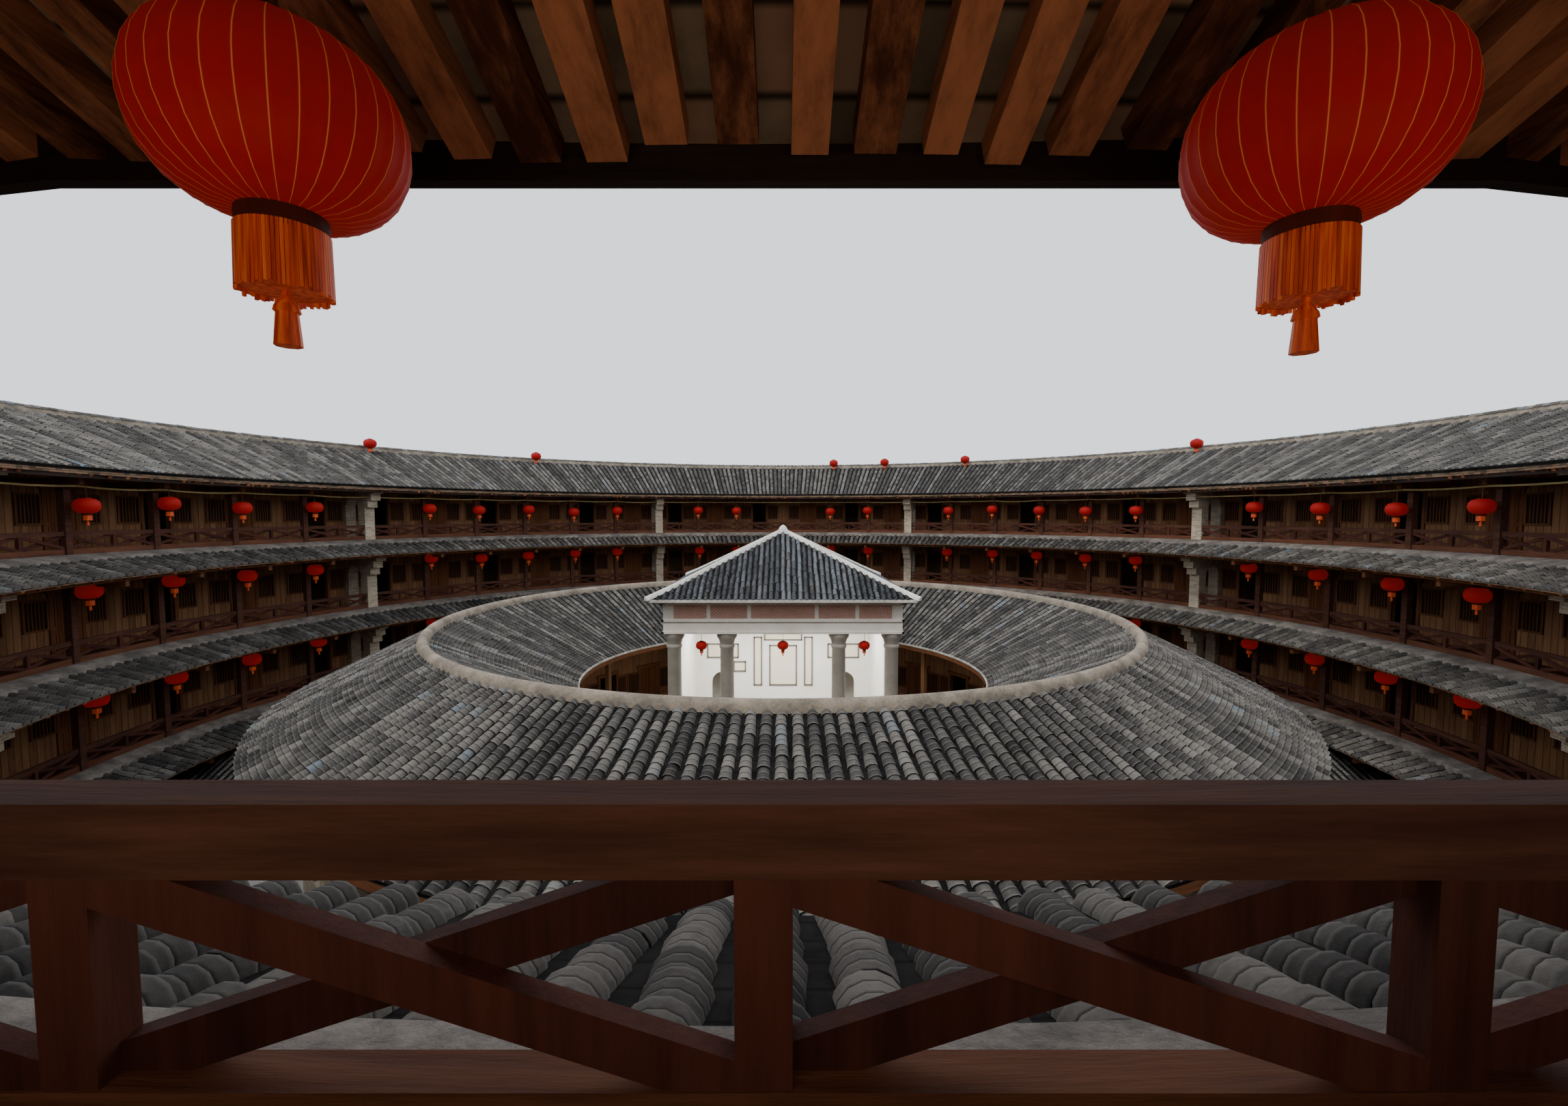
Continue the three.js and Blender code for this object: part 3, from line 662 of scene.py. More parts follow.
@dataclass(frozen=True)
class FieldStone(Finish):
    """Rough grey stones of many sizes set in sunk joints.

    Attributes:
        scale: stones in a model metre.
        ring: radius in model metres of the wall that they are laid out on, or 0 for a gate's straight sides.
    """

    slot: ClassVar[str] = "stone"
    scale: float = 6.0
    ring: float = 14.4

    def shade(self, shader: Shader) -> Sockets:
        """Cells on the unrolled wall, wider than high, each of its own grey, with dark joints.

        Args:
            shader: where its nodes are added.

        Returns:
            Values for the sockets of the main shader node.
        """
        across, out, z = shader.round_spot(self.ring) if self.ring else shader.split()
        bend = shader.noise(6.0, 5.0, 0.65) * 0.12
        inputs = {"Vector": shader.join((across + out) * 0.75 + bend, z * 1.3 + bend), "Scale": self.scale}
        flat = {"voronoi_dimensions": "2D"}
        edge = shader.node("TexVoronoi", {"feature": "DISTANCE_TO_EDGE", **flat}, inputs, "Distance")
        grey = shader.node("SeparateColor", inputs={0: shader.node("TexVoronoi", flat, inputs, "Color")})
        fine, cloud = shader.noise(24.0, 8.0, 0.75), shader.noise(1.8, 6.0, 0.65)
        share = grey * 0.55 + fine * 0.45 + cloud * 0.1
        stone = shader.ramp(share, (0.2, "45413b"), (0.5, "7d776b"), (0.85, "b0a693"))
        joint = 1.0 - (edge + fine * 0.03).rise(0.02, 0.06)
        base = shader.paint(stone, (joint * 0.9, "37322a"), (cloud.rise(0.48, 0.68) * 0.4, "6b6246"))
        height = edge.rise(0.0, 0.12) + fine * 0.6
        return {"Base Color": base, "Roughness": 0.92, "Normal": shader.bump(height, 0.03)}


@dataclass(frozen=True)
class Brickwork(Finish):
    """Grey-beige brick with pale joints, stained in patches.

    Attributes:
        radius: of the ring that it is laid out on, in model metres.
        around: bricks round that ring.
        course: height of a course in model metres.
    """

    slot: ClassVar[str] = "brick"
    radius: float = 10.5
    around: int = 489
    course: float = 0.042

    def shade(self, shader: Shader) -> Sockets:
        """A running bond on the unrolled wall. Outward distance counts too, so that radial walls take it.

        Args:
            shader: where its nodes are added.

        Returns:
            Values for the sockets of the main shader node.
        """
        arc, radius, z = shader.round_spot(self.radius)
        inputs = {
            "Vector": shader.join(arc + radius, z), "Scale": 1.0, "Row Height": self.course,
            "Brick Width": math.tau * self.radius / self.around, "Mortar Size": 0.005, "Mortar Smooth": 0.3,
            "Bias": -0.1, "Color1": "9c8a75", "Color2": "c4b49c", "Mortar": "d3cab8",
        }
        bond = shader.node("TexBrick", {"offset": 0.5}, inputs, "Color")
        joint = Expr(shader, bond.socket.node.outputs["Fac"])
        stain, fine = shader.noise(1.4, 6.0, 0.64), shader.noise(22.0, 4.0, 0.7)
        base = shader.paint(
            bond, (stain.rise(0.45, 0.72) * 0.6, "746a5c"), (fine.rise(0.5, 0.8) * 0.3, "d8cfbf"),
        )
        return {"Base Color": base, "Roughness": 0.9, "Normal": shader.bump(fine * 0.3 - joint, 0.006)}


class Grain(Enum):
    """Which way the wood's grain runs, as shares of arc, outward distance and height."""

    UPRIGHT = (9.0, 9.0, 0.7)
    AROUND = (0.7, 9.0, 9.0)
    OUTWARD = (9.0, 0.7, 9.0)


@dataclass(frozen=True)
class Timber(Finish):
    """Old wood with its grain along the piece, darker in patches.

    Attributes:
        dark: colour of the late wood.
        light: colour between.
        grain: which way it runs.
        board: width of the boards in model metres, or 0 for one timber.
        rough: roughness.
        vary: how much timbers differ by their tone.
        knots: how dark the knots are.
        spread: share of dark fibre at which the colour is all dark, and all light.
    """

    dark: str = "4d2d1d"
    light: str = "976340"
    grain: Grain = Grain.UPRIGHT
    board: float = 0.0
    rough: float = 0.72
    vary: float = 0.25
    knots: float = 0.35
    spread: Pair = (0.15, 0.95)
    ring: ClassVar[float] = 10.8  # radius in model metres of the ring that the grain is laid out on

    def shade(self, shader: Shader) -> Sockets:
        """Noise drawn out along the grain, knots, board seams at even steps along the ring, and worn patches.

        Args:
            shader: where its nodes are added.

        Returns:
            Values for the sockets of the main shader node.
        """
        ways, draw = shader.round_spot(self.ring), self.grain.value
        fibre = shader.noise(3.2, 8.0, 0.7, shader.join(*(way * a for way, a in zip(ways, draw))))
        wide = shader.noise(0.9, 4.0)
        blunt = shader.join(*(way * (a * 0.4 + 1) for way, a in zip(ways, draw)))
        knot = shader.noise(2.3, 2.0, vector=blunt)
        share = fibre * 0.85 + wide * 0.35 + (shader.part() - 0.5) * self.vary - 0.1
        base = shader.paint(
            self.dark, (share.rise(*self.spread), self.light), (knot.rise(0.66, 0.76) * self.knots, "1f120a"),
        )
        height = fibre
        if self.board:
            boards = ways[0] / self.board
            seam = boards.groove(0.07)
            own = shader.node("TexWhiteNoise", {"noise_dimensions": "1D"}, {"W": boards.math("FLOOR")})
            base = shader.paint(base, (own * 0.4, self.light), (seam * 0.85, "140a06"))
            height = fibre * 0.4 - seam
        rough = fibre * 0.2 + (self.rough - 0.1)
        relief = shader.bump(height, 0.004)
        return {"Base Color": base, "Roughness": rough, "Specular IOR Level": 0.15, "Normal": relief}


@dataclass(frozen=True)
class RoofTile(Finish):
    """Weathered grey clay tiles, laid thin over one another, with pale lichen and soot, painted shadows and
    highlights at the laps, and a few tiles tinted by painted blue lamp light.

    Attributes:
        dark: colour of the darkest tiles.
        middle: colour of most of them.
        light: colour of the lightest.
        laps: thin tiles that show on each modelled one.
    """

    slot: ClassVar[str] = "roof_tile"
    dark: str = "242322"
    middle: str = "454341"
    light: str = "716d68"
    laps: int = 2

    def shade(self, shader: Shader) -> Sockets:
        """The tone picks the tile's grey, a painted shadow and highlight mark each lap, and noise adds lichen
        and soot.

        Args:
            shader: where its nodes are added.

        Returns:
            Values for the sockets of the main shader node.
        """
        lap = (shader.part("along") * (self.laps - 0.001)).math("FRACT")
        grit, cloud = shader.noise(34.0, 5.0, 0.72), shader.noise(2.4, 6.0, 0.64)
        share = shader.part() * 0.62 + grit * 0.3 + cloud * 0.12
        # The bluish top stop is painted light: it stands for the blue lamp light that some tiles catch, not
        # the clay's own colour.
        greys_and_lamp_blue = (0.25, self.dark), (0.5, self.middle), (0.72, self.light), (0.84, "566a79")
        # The near-black band at each lap's upper end is painted shadow under the tile above, and the pale
        # band at its lower end is a painted highlight on the lip.
        base = shader.paint(
            shader.ramp(share, *greys_and_lamp_blue), (cloud.rise(0.54, 0.76) * 0.35, "7c776d"),
            ((1.0 - cloud).rise(0.55, 0.78) * 0.5, "1b1b1d"), (lap.rise(0.7, 1.0) * 0.3, "8b8882"),
            ((1.0 - lap.rise(0.0, 0.28)) * 0.75, "111112"),
        )
        relief = shader.bump(lap * 0.9 + grit * 0.5 + cloud * 0.4, 0.006)
        return {"Base Color": base, "Roughness": 0.9, "Specular IOR Level": 0.15, "Normal": relief}


@dataclass(frozen=True)
class TileBed(Finish):
    """The hollow under-tiles between the rows: near-black above as painted shade, with laps, and bare clay
    where the tone is high.

    Attributes:
        drop: height lost from one course to the next, in model metres.
        around: tiles that show side by side on the under side, all round the ring.
    """

    slot: ClassVar[str] = "roof_tile"
    drop: float = 0.05
    around: int = 620

    def shade(self, shader: Shader) -> Sockets:
        """A line at even heights, and painted shade or clay that varies from place to place and from tile to
        tile.

        Args:
            shader: where its nodes are added.

        Returns:
            Values for the sockets of the main shader node.
        """
        turns, _, z = shader.round_spot(1 / math.tau)
        course = z / self.drop
        own = shader.own_of((turns * self.around).math("FLOOR"), course.math("FLOOR"))
        cloud = shader.noise(5.0, 6.0, 0.68)
        patch = cloud.rise(0.3, 0.7)
        clay = shader.paint(
            "6b5a47", (patch, "94806a"), (own.rise(0.3, 1.0) * 0.6, "a67c66"),
            ((1.0 - own).rise(0.55, 1.0) * 0.6, "3f372e"),
        )
        under = shader.part().rise(0.4, 0.6)
        # Where the tone is low, on the upper side, the near-black is painted shade in the gaps between the
        # tile rows.
        base = shader.paint("0f0f10", (patch, "252424"), (under, clay), (course.groove(0.1) * 0.85, "15110d"))
        relief = shader.bump(course.math("FRACT") + cloud * 0.3, 0.012)
        return {"Base Color": base, "Roughness": 0.95, "Specular IOR Level": 0.05, "Normal": relief}


@dataclass(frozen=True)
class Mottled(Finish):
    """A pale surface with clouds of a second colour and specks of a third.

    Attributes:
        pale: colour of the clean surface.
        stain: colour of the clouds.
        cloud: scale, detail and roughness of the clouds' noise.
        fine: the same of the fine noise, for specks and relief.
        blend: shares of cloudy and fine noise in the clouds.
        reach: noise at which a cloud starts, noise at which it is full, and its strength there.
        specks: the same for the specks.
        speck: colour of the specks.
        rough: roughness.
        relief: share of the fine noise in the relief.
        depth: of the relief, in model metres.
    """

    pale: str
    stain: str
    cloud: Triple
    fine: Triple
    blend: Pair
    reach: Triple
    specks: Triple
    speck: str
    rough: float
    relief: float
    depth: float

    def shade(self, shader: Shader) -> Sockets:
        """Clouds where a blend of both noises is high, and specks where the fine one is.

        Args:
            shader: where its nodes are added.

        Returns:
            Values for the sockets of the main shader node.
        """
        cloud, fine = shader.noise(*self.cloud), shader.noise(*self.fine)
        stained = (cloud * self.blend[0] + fine * self.blend[1]).rise(*self.reach[:2]) * self.reach[2]
        speckled = fine.rise(*self.specks[:2]) * self.specks[2]
        base = shader.paint(self.pale, (stained, self.stain), (speckled, self.speck))
        height = fine * self.relief + cloud
        return {"Base Color": base, "Roughness": self.rough, "Normal": shader.bump(height, self.depth)}


@dataclass(frozen=True)
class Lime(Mottled):
    """Weathered lime mortar with grey stains and dark spots, under the fields of Mottled."""

    slot: ClassVar[str] = "lime_ridge"
    pale: str = "cfcabd"
    stain: str = "8f8b82"
    cloud: Triple = (3.4, 7.0, 0.68)
    fine: Triple = (30.0, 5.0, 0.74)
    blend: Pair = (0.8, 0.3)
    reach: Triple = (0.425, 0.745, 1.0)
    specks: Triple = (0.58, 0.72, 0.3)
    speck: str = "4d4a43"
    rough: float = 0.92
    relief: float = 1.0
    depth: float = 0.008


@dataclass(frozen=True)
class Plaster(Mottled):
    """Smooth off-white plaster with faint clouds and trowel marks, under the fields of Mottled."""

    slot: ClassVar[str] = "plaster"
    pale: str = "f4f1ea"
    stain: str = "e0d9ca"
    cloud: Triple = (1.7, 5.0, 0.6)
    fine: Triple = (40.0, 3.0, 0.6)
    blend: Pair = (1.0, 0.0)
    reach: Triple = (0.35, 0.8, 0.7)
    specks: Triple = (0.6, 0.8, 0.0)
    speck: str = "e0d9ca"
    rough: float = 0.85
    relief: float = 0.5
    depth: float = 0.002


@dataclass(frozen=True)
class PaleStone(Mottled):
    """Dressed pale granite with fine specks, under the fields of Mottled."""

    slot: ClassVar[str] = "pale_stone"
    pale: str = "c3bcae"
    stain: str = "968f83"
    cloud: Triple = (1.8, 6.0, 0.66)
    fine: Triple = (90.0, 2.0, 0.8)
    blend: Pair = (1.0, 0.0)
    reach: Triple = (0.35, 0.75, 0.75)
    specks: Triple = (0.56, 0.66, 0.35)
    speck: str = "6f6a63"
    rough: float = 0.75
    relief: float = 1.0
    depth: float = 0.002


@dataclass(frozen=True)
class LooseBrick(Finish):
    """Grey-brown bricks, each of its own shade, with soot and lichen."""

    slot: ClassVar[str] = "brick"

    def shade(self, shader: Shader) -> Sockets:
        """The tone picks the brick's shade, and noise its stains.

        Args:
            shader: where its nodes are added.

        Returns:
            Values for the sockets of the main shader node.
        """
        fine = shader.noise(40.0, 5.0, 0.7)
        share = shader.part() * 0.7 + fine * 0.4
        base = shader.ramp(share, (0.2, "514b44"), (0.55, "84705f"), (0.9, "a69a88"))
        return {"Base Color": base, "Roughness": 0.92, "Normal": shader.bump(fine, 0.006)}


@dataclass(frozen=True)
class Lattice(Finish):
    """Pink-brown openwork panels: slanting bars over a darker ground.

    Attributes:
        step: distance between bars in model metres.
    """

    slot: ClassVar[str] = "brick"
    step: float = 0.055

    def shade(self, shader: Shader) -> Sockets:
        """Two sets of slanting lines, seen from the front and from the sides.

        Args:
            shader: where its nodes are added.

        Returns:
            Values for the sockets of the main shader node.
        """
        x, y, z = shader.split()
        bar = ((x + y + z) / self.step).groove(0.22).most(((x + y - z) / self.step).groove(0.22))
        base = shader.paint("94665a", (shader.noise(9.0, 4.0), "b88a78"), (bar * 0.6, "d3b7a8"))
        return {"Base Color": base, "Roughness": 0.85, "Normal": shader.bump(bar, 0.006)}


@dataclass(frozen=True)
class LanternCloth(Finish):
    """Red lantern cloth lit from inside, with orange lines where the tone is high.

    Attributes:
        glow: strength of its light.
    """

    slot: ClassVar[str] = "lantern_cloth"
    glow: float = 0.14

    def shade(self, shader: Shader) -> Sockets:
        """The tone marks the ribs. The cloth between them has a fine weave and soft darker folds.

        Args:
            shader: where its nodes are added.

        Returns:
            Values for the sockets of the main shader node.
        """
        rib = shader.part().rise(0.84, 0.99)
        weave = shader.noise(60.0) * 0.5 + shader.noise(7.0) * 0.5
        return {
            "Base Color": shader.paint("5c060b", (weave, "a81518"), (rib, "c9763f")), "Roughness": 0.7,
            "Emission Color": shader.paint("d0200f", (rib, "ff8c40")), "Emission Strength": self.glow,
            "Specular IOR Level": 0.2,
        }


@dataclass(frozen=True)
class GoldTrim(Finish):
    """Orange silk fringe with a painted glow that stands for the lantern's light on it.

    Attributes:
        glow: strength of its painted glow.
    """

    slot: ClassVar[str] = "gilt"
    glow: float = 0.1

    def shade(self, shader: Shader) -> Sockets:
        """Fine upright streaks in red, orange and yellow, with a painted glow of the same colours.

        Args:
            shader: where its nodes are added.

        Returns:
            Values for the sockets of the main shader node.
        """
        x, y, z = shader.split()
        strand = shader.noise(3.0, 3.0, vector=shader.join(x * 60.0, y * 60.0, z * 3.0))
        share = strand * 0.8 + shader.part() * 0.2
        base = shader.ramp(share, (0.3, "86200b"), (0.5, "cc4612"), (0.72, "e87c32"))
        # The emission is painted light: the fringe is no lamp, and glows to stand for the lantern's light on
        # it.
        return {"Base Color": base, "Roughness": 0.6, "Emission Color": base, "Emission Strength": self.glow}


@dataclass(frozen=True)
class StudioFloor(Finish):
    """A plain pale studio floor."""

    def shade(self, shader: Shader) -> Sockets:
        """One pale grey with a breath of variation."""
        return {"Base Color": shader.paint("d6d4cf", (shader.noise(0.2, 2.0), "dddbd6")), "Roughness": 0.9}


TILE = RoofTile()
THIN_TILE = RoofTile("2b2a29", "4b4845", "75706a", laps=3)
SLATE = RoofTile("292b2f", "44474c", "666a6f", laps=5)
MORTAR = Lime("998d7d", "685f54", reach=(0.39, 0.71, 1.0), specks=(0.58, 0.72, 0.36))
PENT_MORTAR = Lime("8e867d", "544e49", reach=(0.355, 0.675, 1.0), specks=(0.58, 0.72, 0.42))
DARK_WOOD = Timber()
DARK_WOOD_AROUND = Timber(grain=Grain.AROUND)
DARK_WOOD_OUTWARD = Timber(grain=Grain.OUTWARD)
GREY_WOOD_AROUND = Timber("4a4138", "8a7e6e", Grain.AROUND)
GREY_WOOD_OUTWARD = Timber("33271d", "6d5843", Grain.OUTWARD)
GREY_WOOD_PALE = Timber("6f675c", "b3a996", Grain.AROUND)
BLACK_WOOD = Timber("1d1310", "3b2a22", Grain.AROUND)
RAFTER_WOOD = Timber("43210f", "b8744e", Grain.OUTWARD, vary=0.4, knots=0.85, spread=(0.28, 0.82))
DOOR_WOOD = Timber("3b2013", "8a5632", board=0.06)
FRAME_WOOD = Timber("4a2a1b", "93613d")
PANE_WOOD = Timber("1c110b", "3c2618", board=0.03)
BAMBOO = Timber("8d7647", "d0bd88", Grain.AROUND, knots=0.0)


# Sub-assemblies


def named(prefix: str, ends: str) -> Names:
    """Names with one prefix and each of the ends."""
    return tuple(f"{prefix}_{end}" for end in ends.split())


@dataclass
class EarthWall:
    """The rammed earth wall on its plinth, with a window in each bay of the top storey.

    Attributes:
        inner: radius of its inner face.
        middle: radius at which openings are measured.
        foot: radius of its outer face on the plinth.
        head: radius of its outer face under the roof.
        bottom: height of its foot.
        tops: heights of its top at the outer and at the inner face.
        plinth: outer radius of the plinth.
        window: width and height of a window.
        sill: height of the windows' sills.
        lintel: half width and height of a window's lintel.
        ledge: half width and height of its ledge.
        bars: upright bars in a window.
        shutter: thickness of a shutter.
        step: degrees between the lines that the wall's round is made of.
        least: degrees by which two lines have to be apart, or the second is left out.
        gates: bearing, half width and height of the cut for each gate and its lining.
    """

    inner: float = 27.1
    middle: float = 28.0
    foot: float = 28.75
    head: float = 28.5
    bottom: float = 0.95
    tops: Pair = (13.33, 13.96)
    plinth: float = 28.9
    window: Pair = (0.56, 1.0)
    sill: float = 11.6
    lintel: Pair = (0.66, 0.11)
    ledge: Pair = (0.42, 0.05)
    bars: int = 4
    shutter: float = 0.04
    step: float = 2.0
    least: float = 0.05
    gates: tuple[tuple[float, float, float], ...] = tuple(zip(GATES, (1.44, 1.08, 1.08), (3.54, 2.98, 2.98)))

    def shell(self, levels: Points, outer: Points, top: float, holes: list[tuple]) -> Skin:
        """A round wall with holes: cells have a face wherever what lies beyond isn't solid.

        Args:
            levels: heights of the level lines between the cells.
            outer: radius of the outer face at each.
            top: height of the inner face's upper edge.
            holes: bearings, half width in metres, bottom and top of each kind.

        Returns:
            A skin that holds the wall.
        """
        holes = [(at, math.degrees(math.asin(half / self.middle)), *ends) for at, half, *ends in holes]
        marks = [at + side * half for at, half, *_ in holes for side in (-1, 1)]
        lines = np.unique(np.round(np.concatenate([np.arange(0, 360, self.step), *marks]) % 360, 4))
        lines = lines[np.concatenate([[True], np.diff(lines) > self.least])]
        middle = (lines + np.append(lines[1:], lines[0] + 360)) / 2
        rows = (levels[:-1] + levels[1:]) / 2
        solid = np.ones((len(lines), len(rows)), bool)
        for at, half, low, high in holes:
            away = np.abs((middle[:, None] - at + 180) % 360 - 180).min(1)
            solid &= ~((away < half)[:, None] & (rows > low) & (rows < high))
        outside = place(lines[:, None], outer, levels)
        inside = place(lines[:, None], self.inner, np.append(levels[:-1], top))
        points = np.concatenate([outside.reshape(-1, 3), inside.reshape(-1, 3)])
        line, row = np.meshgrid(np.arange(len(lines)), np.arange(len(rows)), indexing="ij")
        here, there = (x * len(levels) + row for x in (line, (line + 1) % len(lines)))
        back, nothing = len(lines) * len(levels), np.zeros_like(solid)
        under = np.pad(solid, ((0, 0), (1, 0)))[:, :-1]
        over = np.pad(solid, ((0, 0), (0, 1)))[:, 1:]
        quads = (
            (nothing, here, here + 1, there + 1, there),
            (nothing, back + here, back + there, back + there + 1, back + here + 1),
            (np.roll(solid, 1, 0), here, back + here, back + here + 1, here + 1),
            (np.roll(solid, -1, 0), there, there + 1, back + there + 1, back + there),
            (under, here, there, back + there, back + here),
            (over, here + 1, back + here + 1, back + there + 1, there + 1),
        )
        return Skin().add(points, np.concatenate([np.stack(q, -1)[solid & ~beyond] for beyond, *q in quads]))

    def build(self) -> None:
        """Makes the wall, its plinth, and the lintels, bars and shutters of its windows."""
        high = self.sill + self.window[1]
        gates = [(np.array([at]), wide, -1.0, tall) for at, wide, tall in self.gates]
        windows = (BAYS.mean(1), self.window[0] / 2, self.sill, high)
        levels = np.array([self.bottom, 2.98, 3.54, 6.0, 9.0, self.sill, high, self.tops[0]])
        lean = (levels - self.bottom) / (self.tops[0] - self.bottom)
        outer = self.foot + (self.head - self.foot) * lean
        solids = named("earth_wall", "rear right front left rear_top front_top")
        wall = self.shell(levels, outer, self.tops[1], [windows, *gates])
        wall.piece("earth_wall", RammedEarth(), solids)
        plinth = self.shell(np.array([0.0, self.bottom]), self.plinth, self.bottom, gates)
        plinth.piece("stone_plinth", FieldStone(), named("stone_plinth", "rear front_right front_left"))
        self.build_windows(*windows)

    def build_windows(self, at: Points, wide: float, low: float, high: float) -> None:
        """Makes each window's wide thin lintel and sill, its upright bars and its shutter.

        Args:
            at: bearings of the windows.
            wide: half width.
            low: height of the sills.
            high: height of the heads.
        """
        (head, tall), (foot, thin) = self.lintel, self.ledge
        lintels = Skin().boxes(at, (-head, head), (28.15, 28.64), (high, high + tall))
        lintels.boxes(at, (-foot, foot), (28.2, 28.6), (low - thin, low))
        lintels.piece("window_lintels", Timber("3b3128", "75685a", Grain.AROUND))
        bar = np.linspace(-wide + 0.08, wide - 0.08, self.bars)
        grid = Skin().boxes(at[:, None], (bar - 0.018, bar + 0.018), (28.0, 28.04), (low, high))
        for foot in (low, high - 0.06):
            grid.boxes(at, (-wide, wide), (27.98, 28.06), (foot, foot + 0.06))
        grid.piece("window_bars", DARK_WOOD)
        face = self.inner + 0.06
        shutters = Skin().boxes(at, (-wide, wide), (face, face + self.shutter), (low, high))
        for foot in (low + 0.14, high - 0.24):
            shutters.boxes(at, (0.03 - wide, wide - 0.03), (face - 0.03, face + 0.06), (foot, foot + 0.1))
        shutters.piece("window_shutters", PANE_WOOD)


class RoundRoof:
    """What every round roof has: a bed, rows of tiles, and rafters."""

    corners: ClassVar[int] = 360  # corners of the bed's rings

    def lay_bed(self, name: str, line: Points, thick: float, drop: float, stands_for: Names) -> None:
        """Makes the bed: a line and the same line lower down, turned about the axis.

        Args:
            name: the piece's name.
            line: (point, 2) of radius and height on the upper side.
            thick: how far the under side is below it.
            drop: height lost from one course to the next, in model metres.
            stands_for: solids that it is shown in place of.
        """
        outline = np.concatenate([line, line[::-1] - [0.0, thick]])
        under = np.tile(np.repeat([0.0, 1.0], len(line)), self.corners)
        Skin().ring(outline, 360 / self.corners, under).piece(name, TileBed(drop), stands_for)

    def lay_tiles(
        self, name: str, finish: Finish, count: int, upper: Pair, lower: Pair, rows: TileRows
    ) -> None:
        """Makes the rows of tiles of a slope.

        Args:
            name: the piece's name.
            finish: what they are covered with.
            count: number of rows.
            upper: radius and height of the upper end.
            lower: radius and height of the lower end.
            rows: how they are laid.
        """
        at, skin = np.arange(count) * 360 / count, Skin()
        rows.lay(skin, place(at, *upper), place(at, *lower), sideways(at))
        skin.piece(name, finish, crease=60.0)

    def lay_rafters(
        self, name: str, seed: int, count: int, upper: Pair, lower: Pair, width: Pair, depth: float,
        short: Pair | None = None,
    ) -> None:
        """Makes the rafters of a slope, each a little off its place, and of a width of its own.

        Args:
            name: the piece's name.
            seed: start of the random numbers.
            count: number of rafters.
            upper: radius and height of their middle at the upper end.
            lower: the same at the lower end.
            width: least and greatest width.
            depth: how deep they are.
            short: least and greatest distance on the ground plan by which they end before the lower end.
        """
        chance = np.random.default_rng(seed)
        at = (np.arange(count) + 0.5 + chance.normal(0, 0.05, count)) * 360 / count
        run, fall = upper[0] - lower[0], upper[1] - lower[1]
        share = chance.uniform(*short, count) / abs(run) if short else 0.0
        end = place(at, lower[0] + share * run, lower[1] + share * fall)
        wide = chance.uniform(*width, count)
        skin = Skin().bars(place(at, *upper), end, sideways(at), wide, depth, chance.random((count, 1)))
        skin.piece(name, RAFTER_WOOD)


@dataclass
class RingRoof(RoundRoof):
    """A ring roof of two slopes with its tile rows, rafters and ridge.

    Attributes:
        name: start of its pieces' names.
        inner: radius and height of the inner eave.
        ridge: radius and height of the ridge.
        outer: radius and height of the outer eave.
        rows: rows of tiles on the inner and the outer slope.
        courses: tiles in a row on each.
        sides: points in a tile's section on each.
        half: half width of a tile at the inner eave and at the outer eave.
        rafters: rafters on the inner and the outer slope.
        rafter: width and depth of a rafter.
        cap: half width and rise of the ridge cap.
        bed: how deep the bed under the tiles is.
        laps: thin tiles that show on each modelled one.
        ridge_tiles: short tiles laid along the ridge, or 0 for a rounded cap of mortar.
    """

    name: str
    inner: Pair
    ridge: Pair
    outer: Pair
    rows: tuple[int, int]
    courses: tuple[int, int]
    sides: tuple[int, int]
    half: Pair
    rafters: tuple[int, int]
    rafter: Pair
    cap: Pair
    bed: float
    laps: int
    ridge_tiles: int = 0
    course: ClassVar[float] = 0.12  # length of a course of the bed down the slope, in model metres

    def build(self) -> None:
        """Makes the bed, both slopes' tile rows and rafters, and the ridge."""
        (far, peak), (near, eave_height), (width, depth) = self.ridge, self.inner, self.rafter
        drop = self.course * math.sin(math.atan((peak - eave_height) / (far - near)))
        line = np.array([self.inner, self.ridge, self.outer])
        self.lay_bed(f"{self.name}_bed", line, self.bed, drop, named(self.name, "inner outer"))
        lift = self.bed + depth / 2
        for i, (side, eave) in enumerate((("inner", self.inner), ("outer", self.outer))):
            spread = eave[0] / far
            top = self.half[i] / spread
            tiles = TileRows(
                top, min(top, self.half[i]), self.courses[i], self.sides[i], seed=3 + i, spread=spread
            )
            name, finish = f"{self.name}_tiles_{side}", RoofTile(laps=self.laps)
            self.lay_tiles(name, finish, self.rows[i], self.ridge, eave, tiles)
            self.lay_rafters(
                f"{self.name}_rafters_{side}", 7 + i, self.rafters[i], (far, peak - lift),
                (eave[0], eave[1] - lift), (0.88 * width, 1.1 * width), depth, (0.02, 0.08),
            )
        self.build_ridge(far, peak, *self.cap)

    def build_ridge(self, middle: float, peak: float, half: float, rise: float) -> None:
        """Makes the ridge: half an ellipse turned about the axis, or a low wall with tiles end to end on it.

        Args:
            middle: radius of the ridge.
            peak: its height.
            half: half width of the cap.
            rise: how far it stands up.
        """
        foot, top = peak - 0.06, peak + rise
        outline = arch(half, top - foot, 9, foot)
        if self.ridge_tiles:
            outline = np.array([[-half, foot], [-0.09, top], [0.09, top], [half, foot]])
            chance, count = np.random.default_rng(17), self.ridge_tiles
            ends = (np.arange(count)[:, None] + [0.05, 0.95]) * 360 / count
            height = top - 0.01 + chance.normal(0, 0.006, (count, 1))
            path = place(ends, middle + chance.normal(0, 0.008, (count, 1)), height)
            tone = chance.random((count, 1))
            tiles = Skin().carried(path, place(ends.mean(1), 1.0), arch(0.12, 0.1, 6), tone)
            tiles.piece(f"{self.name}_ridge_tiles", TILE)
        stands_for = (self.name.replace("roof", "ridge"),)
        Skin().ring(outline + [middle, 0.0], 1.5).piece(f"{self.name}_ridge_cap", MORTAR, stands_for)


